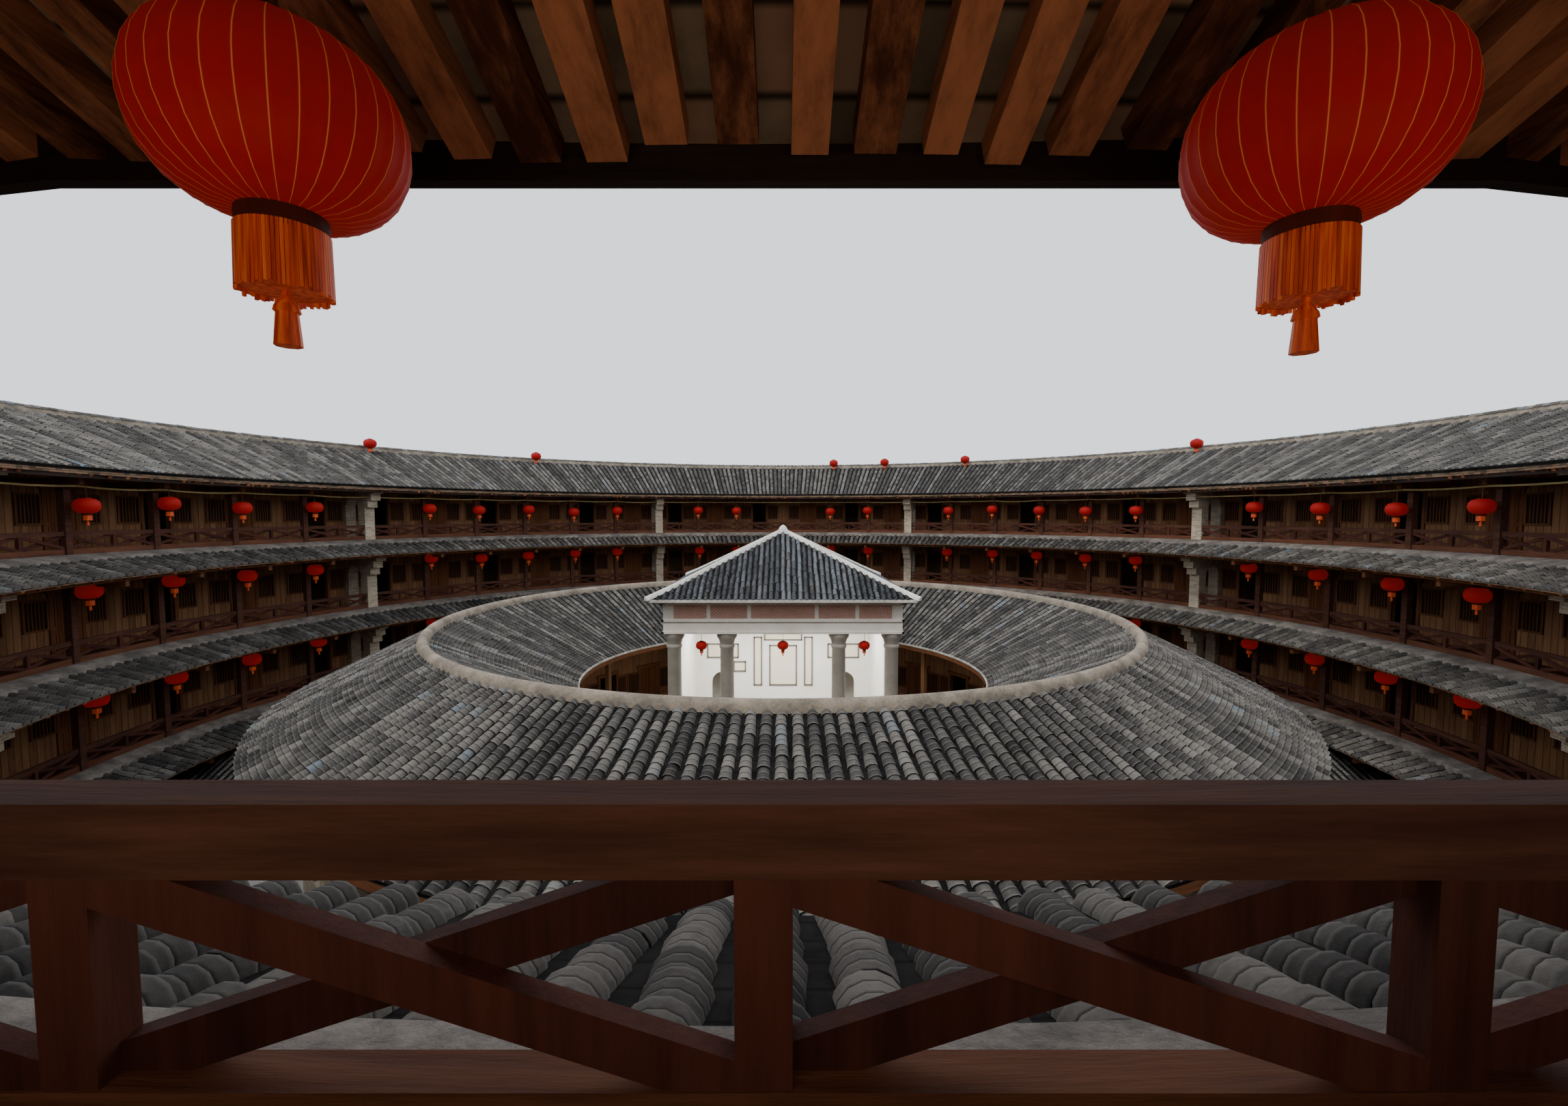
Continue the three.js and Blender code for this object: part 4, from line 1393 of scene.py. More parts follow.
@dataclass
class PentRoofs(RoundRoof):
    """Lean-to roofs over the edge of each upper floor.

    Attributes:
        near: radius where they meet the gallery.
        reach: how far they stand out.
        fall: how far they drop.
        bed: how deep the bed under the tiles is.
        rows: rows of tiles round the ring.
        mortar: width of the lime band along the top.
        rafter: least and greatest width of a rafter.
        rafter_depth: how deep it is.
        below: how far the beams' under sides lie below a floor.
        beam: height of a beam.
        purlin: width and height of the purlin on the beams, and width of a beam.
    """

    near: float = 21.009
    reach: float = 1.65
    fall: float = 0.53
    bed: float = 0.07
    rows: int = 420
    mortar: float = 0.47
    rafter: Pair = (0.085, 0.115)
    rafter_depth: float = 0.07
    below: float = 0.9
    beam: float = 0.16
    purlin: float = 0.14

    def build(self) -> None:
        """Makes beds, tile rows, lime bands, rafters, the beams that carry them and the poles on those."""
        for storey, floor in zip((2, 3, 4), FLOORS):
            self.build_roof(storey, floor)
        purlins, beams, half = Skin(), Skin(), self.purlin / 2
        for low in FLOORS - self.below:
            top = low + self.beam
            beams.boxes(POSTS, (-half, half), (19.62, 21.05), (low, top))
            purlins.board(19.68, self.purlin, top, top + self.purlin, 2.0)
        beams.piece("pent_beams", DARK_WOOD_OUTWARD)
        purlins.piece("pent_purlins", DARK_WOOD_AROUND)
        self.build_poles()

    def build_roof(self, storey: int, floor: float) -> None:
        """Makes one of them.

        Args:
            storey: the storey at whose floor it stands.
            floor: height of that floor.
        """
        near, top, tip = self.near, floor - 0.02, self.near - self.reach
        line = np.array([[near, top], [tip, top - self.fall]])
        self.lay_bed(f"pent_bed_{storey}", line, self.bed, 0.035, (f"pent_roof_{storey}",))
        sides = 8 if storey == 4 else 4  # the near one has rounder tiles
        tiles = TileRows(0.115, 0.1, 8, sides, seed=20 + storey, jog=0.012, spread=0.95)
        lower = (tip - 0.03, top - self.fall - 0.01)
        self.lay_tiles(f"pent_tiles_{storey}", THIN_TILE, self.rows, (near, top), lower, tiles)
        far, foot = near - self.mortar, top - self.fall / self.reach * self.mortar
        band = np.array([
            [near, top - 0.01], [near, top + 0.065], [near - 0.1, top + 0.06], [far, foot + 0.1],
            [far - 0.03, foot],
        ])
        Skin().ring(band, 1.0).piece(f"pent_mortar_{storey}", PENT_MORTAR)
        lift = self.bed + self.rafter_depth / 2
        self.lay_rafters(
            f"pent_rafters_{storey}", storey, self.rows // 2, (near - 0.01, top - lift),
            (tip + 0.05, top - lift - self.fall * 0.97), self.rafter, self.rafter_depth,
        )

    def build_poles(self) -> None:
        """Makes the bamboo poles from post to post: a circle carried along a line that sags as a parabola."""
        lines = BAYS[BAYS[:, 0] != 0.0, 0]
        after = np.append(lines[1:], lines[0] + 360)
        share = np.linspace(0, 1, 5)
        chance = np.random.default_rng(23)
        angle = np.linspace(0, 2 * np.pi, 6, endpoint=False)
        section = 0.03 * np.stack([np.cos(angle), np.sin(angle)], -1)
        skin = Skin()
        for radius, height in [(20.35, floor - 0.71) for floor in FLOORS] + [(20.75, 12.64)]:
            away = (height < 11) | (np.abs(lines - 176) >= 16)  # none under the roof before the camera
            first, last = lines[away], after[away]
            start, end = place(first, radius, height), place(last, radius, height)
            path = start[:, None] + share[None, :, None] * (end - start)[:, None]
            path[..., 2] -= chance.uniform(0.01, 0.06, (len(first), 1)) * 4 * share * (1 - share)
            skin.carried(path, place((first + last) / 2, 1.0), section, chance.random((len(first), 1)))
        skin.piece("drying_poles", BAMBOO)


@dataclass
class Galleries:
    """Small timbers of the galleries: crossed braces and sill boards of the rails, and floor beams.

    Attributes:
        brace: width and thickness of a brace.
        sub_bay: rough length between the small rail posts.
        sill: height of the sill board over the floor.
        rail_under: height of the underside of the rail over the floor.
    """

    brace: Pair = (0.09, 0.04)
    sub_bay: float = 1.2
    sill: float = 0.2
    rail_under: float = 0.59

    def build(self) -> None:
        """Makes two crossed braces in each sub-bay, a small post beside them, sill boards and beams."""
        bay_start, bay_end = (place(BAYS[:, i], POST_RING) for i in (0, 1))
        length = np.linalg.norm(bay_end - bay_start, axis=-1)
        count = np.maximum(2, np.round(length / self.sub_bay)).astype(int)
        step = np.concatenate([np.arange(n) for n in count])[:, None]
        span = np.repeat((bay_end - bay_start) / count[:, None], count, 0)
        start = np.repeat(bay_start, count, 0) + step * span
        end = start + span
        along, shift = unit_vector(span), unit_vector(start + end) * 0.5 * self.brace[1]
        chance = np.random.default_rng(11)
        braces, boards, beams = Skin(), Skin(), Skin()
        for floor in FLOORS:
            low, high = UP * (floor + self.sill), UP * (floor + self.rail_under + 0.01)
            tone = chance.random((len(start), 1))
            braces.bars(start + low + shift, end + high + shift, UP, *self.brace, tone)
            braces.bars(start + high - shift, end + low - shift, UP, *self.brace, 1 - tone)
            braces.bars(end + low, end + high, along, 0.1, 0.08, tone)
            middle = UP * (floor + 0.105)
            boards.bars(bay_start + middle, bay_end + middle, UP, 0.21, 0.09)
            beams.boxes(POSTS, (-0.08, 0.08), (21.2, 22.61), (floor - 0.47, floor - 0.25))
        beams.boxes(POSTS, (-0.08, 0.08), (20.62, 22.61), (12.68, 12.88))
        braces.piece("rail_braces", Timber("2c1510", "5f352a"))
        boards.piece("rail_sill_boards", Timber("40231a", "7c5039", Grain.AROUND))
        beams.piece("floor_beams", DARK_WOOD_OUTWARD)


@dataclass
class RoomFronts:
    """Doors and windows of the rooms, one door and two windows a bay, but none where a way goes through.

    Attributes:
        prefix: start of the pieces' names.
        bays: bearings (from, to) of the bays.
        shut: whether a bay's door is shut, for each bay.
        floors: heights of the floors.
        ways: bearings of the bays that have a way through on the ground.
        radius: of the corners between the fronts.
        window: width and height of a window.
        sill: height of a window's sill over the floor.
        aside: from the middle of the door to the middle of a window.
        door: width and height of a door.
        rim: width of a window's frame.
    """

    prefix: str
    bays: Points
    shut: Points
    floors: tuple[float, ...]
    ways: tuple[float, ...]
    radius: float = 22.6
    window: Pair = (0.62, 0.85)
    sill: float = 0.95
    aside: float = 0.93
    door: Pair = (0.9, 2.0)
    rim: float = 0.06

    def build(self) -> None:
        """Makes frames, shut leaves where the fronts have no doorway, and barred windows.

        Each row of six numbers is a box: its ends across the bay, outwards from the front and over the floor.
        """
        half, top, rim = self.door[0] / 2, self.door[1], self.rim
        low, high = self.sill, self.sill + self.window[1]
        frames = [
            (-half - 0.16, half + 0.16, -0.07, 0.03, top, top + 0.12),
            (-half - 0.1, half + 0.1, -0.05, 0.03, 0.0, 0.1),
        ]
        leaves, panes = [], []
        for side in (-1, 1):
            frames.append((side * half, side * (half + 0.1), -0.05, 0.03, 0.0, top))
            leaves.append((side * 0.01, side * half, -0.035, 0.02, 0.1, top))
            for ends in ((0.2, 0.85), (0.98, 1.85)):
                leaves.append((side * 0.07, side * (half - 0.06), -0.05, 0.0, *ends))
            left, right = (side * self.aside + end * self.window[0] / 2 for end in (-1, 1))
            panes.append((left, right, -0.015, 0.01, low, high))
            face = (-0.045, 0.02)
            frames += [(edge, edge + rim, *face, low - rim, high + rim) for edge in (left - rim, right)]
            frames += [(left, right, *face, edge, edge + rim) for edge in (low - rim, high)]
            bars = np.linspace(left, right, 7)[1:-1]
            frames += [(at - 0.014, at + 0.014, -0.035, 0.0, low, high) for at in bars]
        every = np.ones_like(self.shut)
        self.put("room_frames", FRAME_WOOD, frames, every)
        self.put("door_leaves", DOOR_WOOD, leaves, self.shut)
        self.put("window_panes", PANE_WOOD, panes, every)

    def put(self, name: str, finish: Finish, rows: list[tuple], which: Points) -> None:
        """Makes a piece of the same boxes in each bay of each storey.

        Args:
            name: the piece's name after the prefix.
            finish: what it is covered with.
            rows: the boxes of a bay.
            which: whether a bay has them, for each bay.
        """
        middle, skin = self.bays.mean(1), Skin()
        chord = self.radius * np.cos(np.radians(self.bays[:, 1] - self.bays[:, 0]) / 2)
        for floor in self.floors:
            use = which & ((floor > 0) | ~np.isin(middle % 360, self.ways))
            at, face = middle[use], chord[use]
            for left, right, near, far, low, high in rows:
                skin.boxes(at, (left, right), (face + near, face + far), (floor + low, floor + high))
        skin.piece(self.prefix + name, finish)


@dataclass
class Lanterns:
    """Round red lanterns with dark caps and orange fringe.

    Attributes:
        across: width of a lantern's body.
        tall: height of its body.
        radius: how far from the centre they hang.
        drop: how far a lantern's middle hangs below the floor or the roof over it.
    """

    across: float = 0.62
    tall: float = 0.46
    radius: float = 20.6
    drop: float = 1.1

    def build(self) -> None:
        """Makes the lanterns of the galleries, the ridge, the inner court and the hall."""
        at = np.tile(POSTS, 3)
        z = np.repeat(np.append(FLOORS[1:], 13.17) - self.drop, len(POSTS))
        keep = ~((z > 11) & (np.abs(at - 180) < 10))  # the near lanterns hang there
        chance = np.random.default_rng(5)
        aside, sag = chance.normal(0, 0.05, len(at)), chance.normal(0, 0.04, len(at))
        middles = place(at, self.radius, z + sag, aside)
        self.hang("gallery_lanterns", middles[keep], np.where(z > 12, 12.7, z + 0.36)[keep], 1.0, 12)
        near = np.array([[-1.075, -20.6, 12.645], [1.2, -20.6, 12.63]])
        self.hang("near_lanterns", near, 13.05, 0.82, 128)
        ridge = place(np.array([-62.0, -40.0, 8.5, 17.0, 30.0, 62.0]), 24.25, 15.5)
        self.hang("ridge_lanterns", ridge, 14.9, 1.0, 12)
        self.hang("court_lanterns", place(np.array([108.0, 252.0]), 6.95, 5.85), 6.45, 0.9, 24)
        hall = np.array([[x, -2.2, 7.72] for x in (-2.55, 0.0, 2.55)])
        self.hang("hall_lanterns", hall, 8.14, 0.58, 24)

    def hang(self, name: str, middle: Points, top: Points, size: float, sides: int) -> None:
        """Makes lanterns: a round body, ribbed if it is near, caps, a fringe with a tassel, and a hanger.

        The body's radius goes as a sine of its height to the power 0.62, from cap to cap.

        Args:
            name: start of the pieces' names.
            middle: middle of each body.
            top: height that each hangs from.
            size: how large they are against the usual one.
            sides: points round the body, four to a rib where there are many.
        """
        fine = sides > 24
        wide, tall, cap = self.across * size / 2, self.tall * size, self.across * size / 2 * 0.33
        turn = np.linspace(0.1, np.pi - 0.1, 14 if fine else 7)
        outline = np.stack([wide * np.sin(turn) ** 0.62, -tall / 2 * np.cos(turn)], -1)
        rib = np.arange(sides) % 4 == 0 if fine else np.zeros(sides, bool)
        flute = np.where(rib, 1.0, 0.985) if fine else 1.0
        body = Skin().spindles(middle, outline, sides, np.tile(rib, len(turn)), flute)
        body.piece(name, LanternCloth())
        round_sides = 24 if fine else 8
        trim, dark = Skin(), Skin()
        for foot, height in ((0.46, 0.08), (-0.6, 0.14)):
            ring = np.array([[1.0, foot], [1.04, foot + height / 2], [1.0, foot + height]])
            dark.spindles(middle, ring * [cap, tall], round_sides)
        skirt = np.array([[0.95, -0.58], [0.97, -0.75], [0.98, -0.92]])
        trim.spindles(middle, skirt * [cap, tall], round_sides)
        tassel = np.array([
            [0.006, -0.9], [0.012, -0.95], [0.03, -1.01], [0.033, -1.04], [0.027, -1.05], [0.034, -1.24],
        ])
        trim.spindles(middle, tassel * [size, tall], 8)
        if fine:
            self.add_strands(trim, middle, cap, tall)
        trim.piece(f"{name}_trim", GoldTrim())
        dark.piece(f"{name}_caps", Timber("2a0d0a", "6e2a16"))
        end = middle * [1, 1, 0] + UP * np.reshape(top, (-1, 1))
        hangers = Skin().bars(middle + UP * tall * 0.5, end, np.array([1.0, 0, 0]), 0.012, 0.012)
        hangers.piece(f"{name}_hangers", DARK_WOOD)

    def add_strands(self, trim: Skin, middle: Points, radius: float, tall: float) -> None:
        """Adds the strands of a near lantern's fringe, a ring of thin bars of uneven length.

        Args:
            trim: the skin that they are added to.
            middle: middle of each lantern.
            radius: of the fringe.
            tall: height of the lantern's body.
        """
        chance, count = np.random.default_rng(9), 72
        ring = place(90 - np.arange(count) * 360 / count, radius * 1.02)
        for spot in middle:
            start = spot + ring - UP * tall * 0.58
            end = spot + ring * 1.03 - UP * tall * 0.93 - chance.random((count, 1)) * UP * 0.01
            trim.bars(start, end, np.roll(ring, 1, 0) - ring, 0.006, 0.006, chance.random((count, 1)))


@dataclass
class InnerRing:
    """Small timbers of the lower ring: rails, doors and windows towards the inner court.

    Attributes:
        rail: radius of the gallery rail.
        front: radius of the room fronts.
        floor: height of the upper floor.
        sides: sides of the ring.
    """

    rail: float = 7.46
    front: float = 8.5
    floor: float = 3.1
    sides: int = 24

    def build(self) -> None:
        """Makes balusters, doors and windows."""
        step = 360 / self.sides
        bays = (np.arange(self.sides)[:, None] + [-0.5, 0.5]) * step
        start, end = place(bays[:, 1], self.rail), place(bays[:, 1] + step, self.rail)
        balusters, low, high = Skin(), UP * (self.floor + 0.08), UP * (self.floor + 0.87)
        for share in np.linspace(0.06, 0.94, 9):
            spot = start + share * (end - start)
            balusters.bars(spot + low, spot + high, end - start, 0.035, 0.035)
        balusters.bars(start + low, end + low, UP, 0.08, 0.05)
        balusters.piece("inner_balusters", DARK_WOOD)
        shut, floors = np.arange(self.sides) % 2 == 1, (0.0, self.floor)
        RoomFronts("inner_", bays, shut, floors, (0.0, 180.0), self.front, (0.6, 0.8), 1.0, 0.82).build()


@dataclass
class Links:
    """Tiles on the covered ways between the rings.

    Attributes:
        half: half width of the roof.
        eave: height of its eaves.
        ridge: height of its ridge.
        near: where it starts from the centre.
        far: where it ends.
    """

    half: float = 1.75
    eave: float = 2.6
    ridge: float = 3.36
    near: float = 13.55
    far: float = 20.95

    def build(self) -> None:
        """Makes the bed, the tile rows and the ridge of both ways."""
        out = np.arange(self.near + 0.15, self.far - 0.1, 0.25)
        height = np.array([self.ridge, self.eave]) + 0.02
        bed, tiles, cap = Skin(), Skin(), Skin()
        for bearing in (SIDE_GATE, -SIDE_GATE):
            along = place(bearing, 1.0)
            for side in (-1.0, 1.0):
                top = place(bearing, out, self.ridge + 0.03)
                foot = place(bearing, out, self.eave + 0.02, side * (self.half + 0.03))
                TileRows(0.085, 0.08, 8, 4, seed=31).lay(tiles, top, foot, np.broadcast_to(along, top.shape))
                ends = place(bearing, (self.near + self.far) / 2, height, np.array([0.0, side * self.half]))
                bed.bars(ends[:1], ends[1:], along, self.far - self.near, 0.05, 0.0)
            line = place(bearing, np.array([self.near, self.far]), self.ridge + 0.06)
            cap.bars(line[:1], line[1:], sideways(bearing), 0.24, 0.13)
        bed.piece("link_roof_beds", TileBed(0.045))
        tiles.piece("link_roof_tiles", TILE, crease=60.0)
        cap.piece("link_ridges", Lime())


@dataclass
class Hall:
    """The hall's tiled pyramid roof with its white hips, its columns, frieze panels and blank frames.

    Attributes:
        middle: y of its middle.
        half: half width of the roof at the eave.
        eave: height of the eave.
        apex: height of the roof's point.
        step: distance between tile rows.
        columns: x of the columns.
        column_line: how far the columns stand before the middle.
        column: radius of a column.
        base: height of the floor that they stand on.
        head: height of their top.
        face: from the middle to the face of the wall over the columns.
        frieze: low and high edge of the panels there.
        screen: y of the screen's face.
    """

    middle: float = 1.2
    half: float = 4.05
    eave: float = 9.23
    apex: float = 11.22
    step: float = 0.18
    columns: tuple[float, ...] = (-3.4, -1.75, 1.75, 3.4)
    column_line: float = 3.4
    column: float = 0.23
    base: float = 0.5
    head: float = 8.14
    face: float = 3.69
    frieze: Pair = (8.62, 9.06)
    screen: float = 3.02

    def turned(self, x: Points, y: Points, z: Points, quarter: int) -> Points:
        """Points about the hall's middle, turned by quarters and set in their place."""
        return place(-90.0 * quarter, y, z, x) + [0, self.middle, 0]

    def build(self) -> None:
        """Makes the roof, columns, panels and frames."""
        self.build_roof()
        self.build_columns()
        self.build_frieze()
        self.build_screen()

    def build_roof(self) -> None:
        """Makes the bed, the tile rows up to the hips, the hips and the white eave line."""
        half, eave, apex = self.half, self.eave, self.apex
        corner = np.array([[-1, -1], [1, -1], [1, 1], [-1, 1]])
        levels = ((half, eave - 0.06), (half, eave), (0.02, apex - 0.01))
        rings = [self.turned(*(corner * wide).T, z, 0) for wide, z in levels]
        bed = Skin().add(np.concatenate(rings), ring_faces(3, 4), np.repeat([1.0, 0.0, 0.0], 4))
        bed.piece("hall_roof_bed", TileBed(), ("hall_roof",))
        x = np.arange(-21, 22) * self.step
        share = np.linspace(0, 1, 9)
        flick = 0.044 * np.clip((share - 0.8) / 0.2, 0, 1) ** 2
        reach = share * (half + 0.08)
        fall = (apex - eave) / half
        tiles, hips, edge = Skin(), Skin(), Skin()
        for quarter in range(4):
            top = self.turned(x, -np.abs(x), apex - fall * np.abs(x), quarter)
            foot = self.turned(x, -half - 0.05, eave - 0.01, quarter)
            across = np.broadcast_to(sideways(-90.0 * quarter), top.shape)
            TileRows(0.064, 0.07, 9, 6, seed=40 + quarter).lay(tiles, top, foot, across)
            path = self.turned(reach, -reach, apex + 0.02 - fall * reach + flick, quarter)
            hips.carried(path[None], place(45.0 - 90.0 * quarter, 1.0)[None], arch(0.085, 0.13, 6, -0.04))
            ends = self.turned(np.array([-half, half]), -half, eave - 0.03, quarter)
            edge.bars(ends[:1], ends[1:], UP, 0.08, 0.12)
        knob = np.array([[0.16, -0.05], [0.17, 0.06], [0.1, 0.16], [0.03, 0.22]])
        hips.spindles(np.array([[0, self.middle, apex]]), knob, 16)
        tiles.piece("hall_roof_tiles", SLATE, crease=60.0)
        hips.piece("hall_hips", Lime("e9e7e0", "bdbab2"))
        edge.piece("hall_eave_edge", Lime("cbc7bd", "9a968d"))

    def build_columns(self) -> None:
        """Makes the stone columns: a square block, a swelling foot, a tapering shaft and a spreading head."""
        tall = self.head - self.base
        foot = [[1.5, 0.12], [1.56, 0.2], [1.5, 0.32], [1.12, 0.42], [1.0, 0.5], [0.97, tall * 0.5]]
        head = [[0.92, 0.5], [1.05, 0.46], [1.05, 0.4], [0.95, 0.36], [1.1, 0.22], [1.38, 0.12], [1.38, 0.0]]
        outline = np.concatenate([foot, [[radius, tall - down] for radius, down in head]]) * [self.column, 1]
        x, y, wide = np.array(self.columns), self.middle - self.column_line, 0.38
        feet = np.stack(np.broadcast_arrays(x, y, self.base), -1)
        skin = Skin().spindles(feet, outline, 32)
        skin.boxes(0.0, (x - wide, x + wide), (y - wide, y + wide), (self.base, self.base + 0.13))
        skin.piece("hall_columns", PaleStone("a29c90", "79746a"), named("hall_column", "1 2 3 4"))

    def build_frieze(self) -> None:
        """Makes the panels over the columns on all four sides, and the mouldings over and under them."""
        edges = np.array([-3.36, -2.35, -2.23, -1.1, -0.98, 0.98, 1.1, 2.23, 2.35, 3.36]).reshape(-1, 2)
        panels, trim = Skin(), Skin()
        self.add_bands(panels, edges, 0.015, *self.frieze)
        for low, reach in ((self.head, 0.05), (8.52, 0.05), (9.04, 0.07)):
            self.add_bands(trim, np.array([[-1, 1]]) * (self.face + reach), reach, low, low + 0.06)
        panels.piece("frieze_panels", Lattice())
        trim.piece("frieze_mouldings", PaleStone("d8d2c6", "b9b3a7"))

    def add_bands(self, skin: Skin, ends: Points, reach: float, low: float, high: float) -> None:
        """Adds flat bands to the wall over the columns, the same on each of its four sides.

        Args:
            skin: what they are added to.
            ends: left and right end of each band.
            reach: how far they stand out.
            low: height of the lower edge.
            high: height of the upper edge.
        """
        sunk = 0.02
        y, z = (sunk - reach) / 2 - self.face, (low + high) / 2
        for quarter in range(4):
            start, end = (self.turned(x, y, z, quarter) for x in ends.T)
            skin.bars(start, end, UP, high - low, reach + sunk)

    def build_screen(self) -> None:
        """Makes blank framed panels on the screen. A row gives the middle, foot, width and height of each."""
        frames = np.array([
            [0.0, 5.05, 1.1, 1.62], [-1.0, 5.05, 0.34, 1.95], [1.0, 5.05, 0.34, 1.95],
            [-1.72, 5.6, 0.5, 0.42], [-2.38, 6.15, 1.25, 0.58], [2.38, 6.15, 1.25, 0.58],
            [0.0, 6.85, 1.5, 0.3],
        ])
        middle, low, wide, tall = frames.T
        left, right, high = middle - wide / 2, middle + wide / 2, low + tall
        y, rim = self.screen, 0.05
        rails, blanks = Skin(), Skin()
        for edge in (left, right - rim):
            rails.boxes(0.0, (edge, edge + rim), (y - 0.045, y), (low, high))
        for edge in (low, high - rim):
            rails.boxes(0.0, (left, right), (y - 0.045, y), (edge, edge + rim))
        blanks.boxes(0.0, (left + rim, right - rim), (y - 0.02, y), (low + rim, high - rim))
        rails.piece("screen_frames", Timber("5d564c", "8d857a"))
        blanks.piece("screen_blanks", Plaster("efe6cf", "e3d6b6"))


@dataclass
class OuterEave:
    """Brackets and purlin that carry the outer eave beyond the earth wall, and bricks that hold its tiles.

    Attributes:
        tip: radius of the brackets' ends.
        height: top of the brackets.
        bricks: number of bricks on the roof.
        brick_line: radius and height of the row that they lie in.
        brick: height of a brick, and its depth, which is half its length.
    """

    tip: float = 29.95
    height: float = 12.5
    bricks: int = 315
    brick_line: Pair = (29.25, 13.35)
    brick: Pair = (0.06, 0.11)

    def build(self) -> None:
        """Makes the brackets, their struts, the purlin, and the loose bricks, a few of them missing."""
        lines, high = np.unique(BAYS % 360), self.height
        brackets = Skin().boxes(lines, (-0.09, 0.09), (28.3, self.tip), (high - 0.2, high))
        start, end = place(lines, 28.5, high - 0.85), place(lines, self.tip - 0.35, high - 0.18)
        brackets.bars(start, end, sideways(lines), 0.12, 0.14)
        brackets.piece("eave_brackets", GREY_WOOD_OUTWARD)
        Skin().board(29.66, 0.18, high, high + 0.2, 2.0).piece("eave_purlin", GREY_WOOD_AROUND)
        chance, count = np.random.default_rng(29), self.bricks
        kept = chance.random(count) < 0.9
        at = ((np.arange(count) + chance.normal(0, 0.08, count)) * 360 / count)[kept]
        stray, turn = chance.normal(0, 0.03, len(at)), chance.normal(0, 0.02, len(at))
        radius, height = self.brick_line
        start, end = (
            place(at, radius + stray + side * turn, height - stray * 0.45, side * self.brick[1])
            for side in (-1, 1)
        )
        loose = Skin().bars(start, end, UP, *self.brick, chance.random((len(at), 1)))
        loose.piece("eave_bricks", LooseBrick())


@dataclass
class Studio:
    """The floor, the light and the camera.

    Attributes:
        eye: where the camera stands.
        pitch: how far it looks down, in degrees.
        lens: focal length on a sensor 36 mm wide.
        sun: strength of the sun.
        sky: strength of the sky.
    """

    eye: Triple = (0.035, -22.06, 11.8)
    pitch: float = 3.4
    lens: float = 14.7
    sun: float = 1.7
    sky: float = 1.55

    def build(self) -> None:
        """Makes the floor, the sky, a broad sun, soft lamps in the hall and by the camera, and the camera."""
        side = 400.0
        floor = Skin().boxes(0.0, (-side, side), (-side, side), (-0.5, -0.004))
        self.add("studio_floor", floor.mesh("studio_floor", StudioFloor()))
        world = bpy.data.worlds.new("studio")
        world.use_nodes = True
        background = world.node_tree.nodes["Background"]
        background.inputs["Color"].default_value = (0.92, 0.95, 1.0, 1.0)
        background.inputs["Strength"].default_value = self.sky
        bpy.context.scene.world = world
        self.add_lamp("sun", "SUN", self.sun, (1.0, 0.96, 0.9), turn=(38, 0, -35), angle=math.radians(18))
        soft = {"kind": "AREA", "shape": "RECTANGLE"}
        self.add_lamp("hall_lamp", power=120, tint=(1, 1, 1), at=(0, 0.4, 7.9), size=3.0, size_y=1.2, **soft)
        self.add_lamp(
            "near_lamp", power=11, tint=(1, 0.86, 0.7), at=(0, -22.45, 11.9), turn=(112, 0, 0), size=2.0,
            size_y=0.6, **soft,
        )
        lens = bpy.data.cameras.new("camera")
        lens.sensor_width, lens.lens = 36.0, self.lens
        lens.clip_start, lens.clip_end = 0.02, 1000.0
        bpy.context.scene.camera = self.add("camera", lens, self.eye, (90 - self.pitch, 0, 0))

    def add(
        self, name: str, data: bpy.types.ID, at: tuple = (0, 0, 0), turn: tuple = (0, 0, 0)
    ) -> bpy.types.Object:
        """Puts something in the scene.

        Args:
            name: its name.
            data: its mesh, lamp or lens.
            at: where it is, in metres of the real house.
            turn: its rotation in degrees.

        Returns:
            The object.
        """
        made = bpy.data.objects.new(name, data)
        made.location = tuple(v * SCALE for v in at)
        made.rotation_euler = tuple(math.radians(v) for v in turn)
        bpy.context.scene.collection.objects.link(made)
        return made

    def add_lamp(
        self, name: str, kind: str, power: float, tint: tuple, at: tuple = (0, 0, 0), turn: tuple = (0, 0, 0),
        **settings: float | str,
    ) -> None:
        """Makes a lamp.

        Args:
            name: its name.
            kind: its type.
            power: its strength.
            tint: its colour.
            at: where it is, in metres of the real house.
            turn: its rotation in degrees. Unturned it shines down.
            settings: its shape and size in model metres, or its angle.
        """
        lamp = bpy.data.lights.new(name, kind)
        lamp.energy, lamp.color = power, tint
        for key, value in settings.items():
            setattr(lamp, key, value)
        self.add(name, lamp, at, turn)


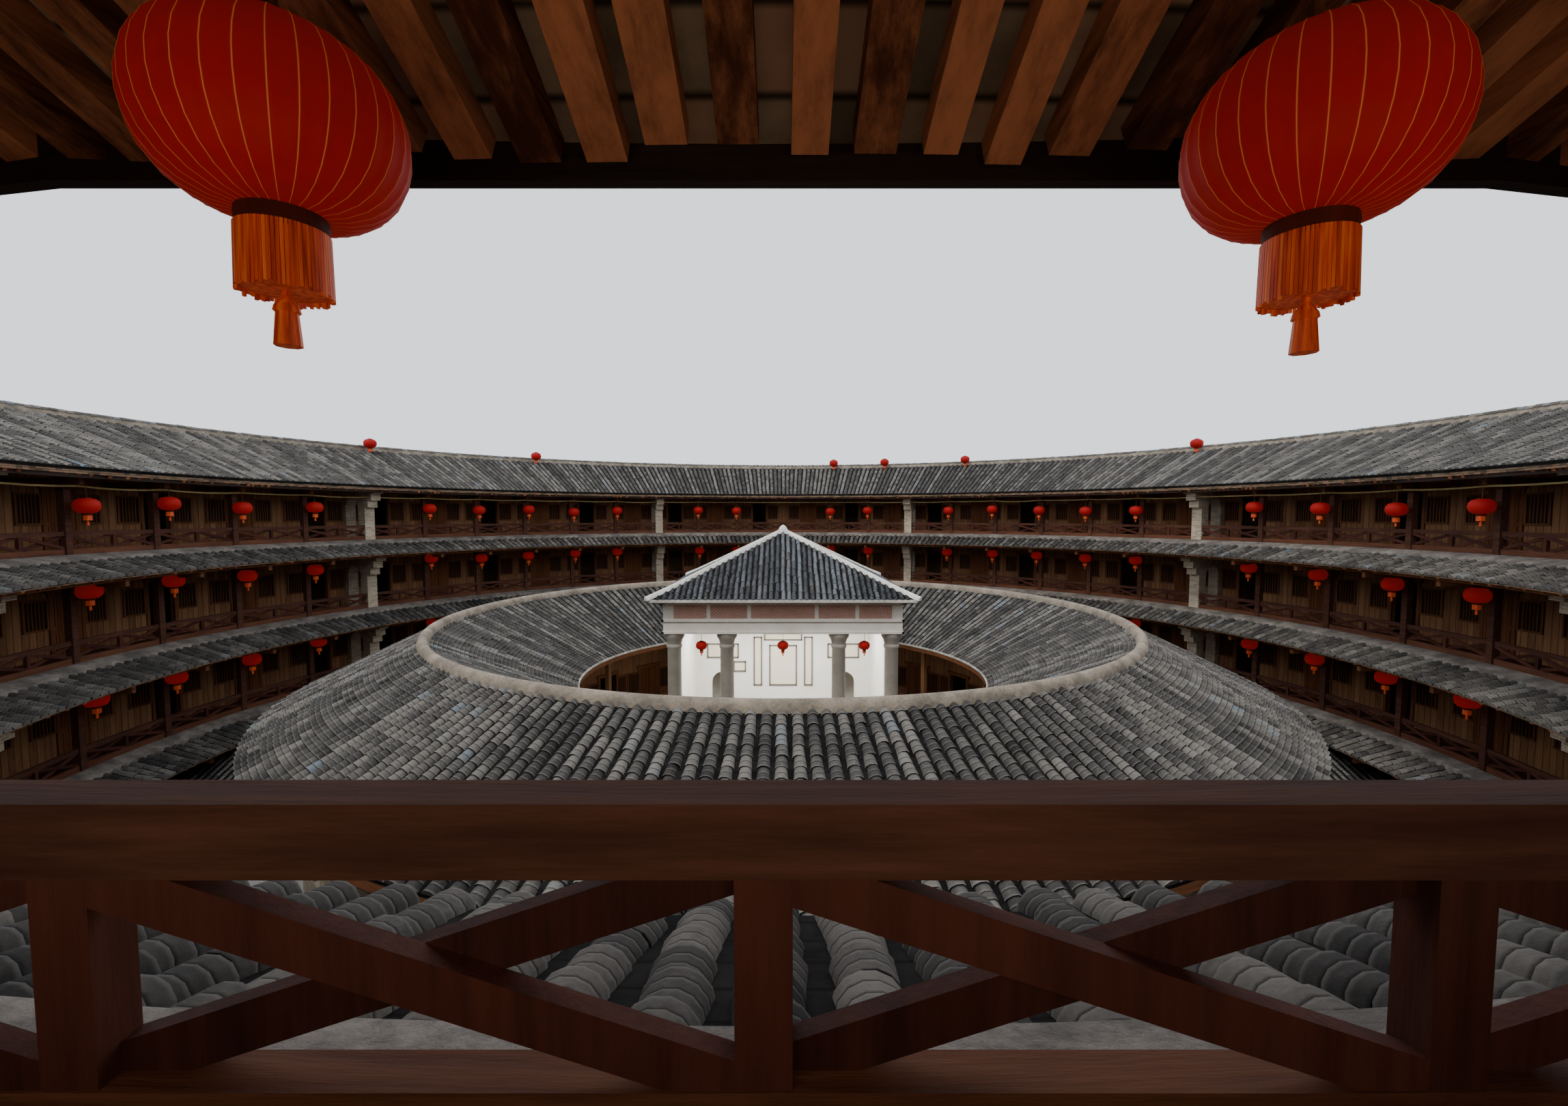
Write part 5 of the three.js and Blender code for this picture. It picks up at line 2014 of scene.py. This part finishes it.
def dress_solids() -> None:
    """Gives the solids that stay in sight their finishes."""
    Brickwork().cover("fire_wall", "inner_wall")
    FieldStone(scale=5.0, ring=0.0).cover("gate_surround")
    PaleStone("b5afa3", "8d877c").cover("hall_platform")
    Timber("3b221a", "7a5140", Grain.AROUND, rough=0.8).cover("gallery")
    Timber("6a4630", "b98a60", board=0.1).cover("rooms", "inner_gallery")
    DARK_WOOD.cover("link")
    Plaster().cover("hall_walls", "hall_screen")
    PaleStone("dcd6ca", "bfb9ad").cover("hall_entablature")


def main() -> None:
    """Builds the house's pieces in order, from the outer wall inwards."""
    logging.basicConfig(level=logging.INFO, format="%(name)s %(message)s")
    Studio().build()
    EarthWall().build()
    RingRoof(
        name="main_roof", inner=(20.0, 13.15), ridge=(24.8, 15.2), outer=(30.2, 12.77), rows=(504, 630),
        courses=(12, 14), sides=(4, 4), half=(0.095, 0.115), rafters=(620, 630), rafter=(0.118, 0.09),
        cap=(0.16, 0.14), bed=0.2, laps=4, ridge_tiles=620,
    ).build()
    Skin().board(20.08, 0.05, 12.84, 13.05, BAYS[:, 0]).piece("inner_eave_board", BLACK_WOOD)
    Skin().board(30.16, 0.04, 12.46, 12.66, 1.5).piece("outer_eave_board", GREY_WOOD_PALE)
    OuterEave().build()
    PentRoofs().build()
    Galleries().build()
    RoomFronts("", BAYS, BAY_IN_UNIT % 2 == 1, (0.0, *FLOORS), GATES).build()
    RingRoof(
        name="inner_roof", inner=(6.8, 6.4), ridge=(10.9, 8.39), outer=(14.5, 6.66), rows=(216, 264),
        courses=(19, 17), sides=(4, 6), half=(0.075, 0.132), rafters=(144, 240), rafter=(0.09, 0.08),
        cap=(0.16, 0.17), bed=0.1, laps=2,
    ).build()
    Skin().board(6.79, 0.035, 6.2, 6.36, 1.5).piece("court_eave_board", DARK_WOOD_AROUND)
    Skin().board(6.77, 0.05, 6.36, 6.42, 1.5).piece("court_eave_line", Lime("d8d4c8"))
    Skin().board(14.47, 0.035, 6.46, 6.6, 1.5).piece("low_eave_board", DARK_WOOD_AROUND)
    InnerRing().build()
    Links().build()
    Hall().build()
    Lanterns().build()
    dress_solids()


if __name__ == "__main__":
    main()
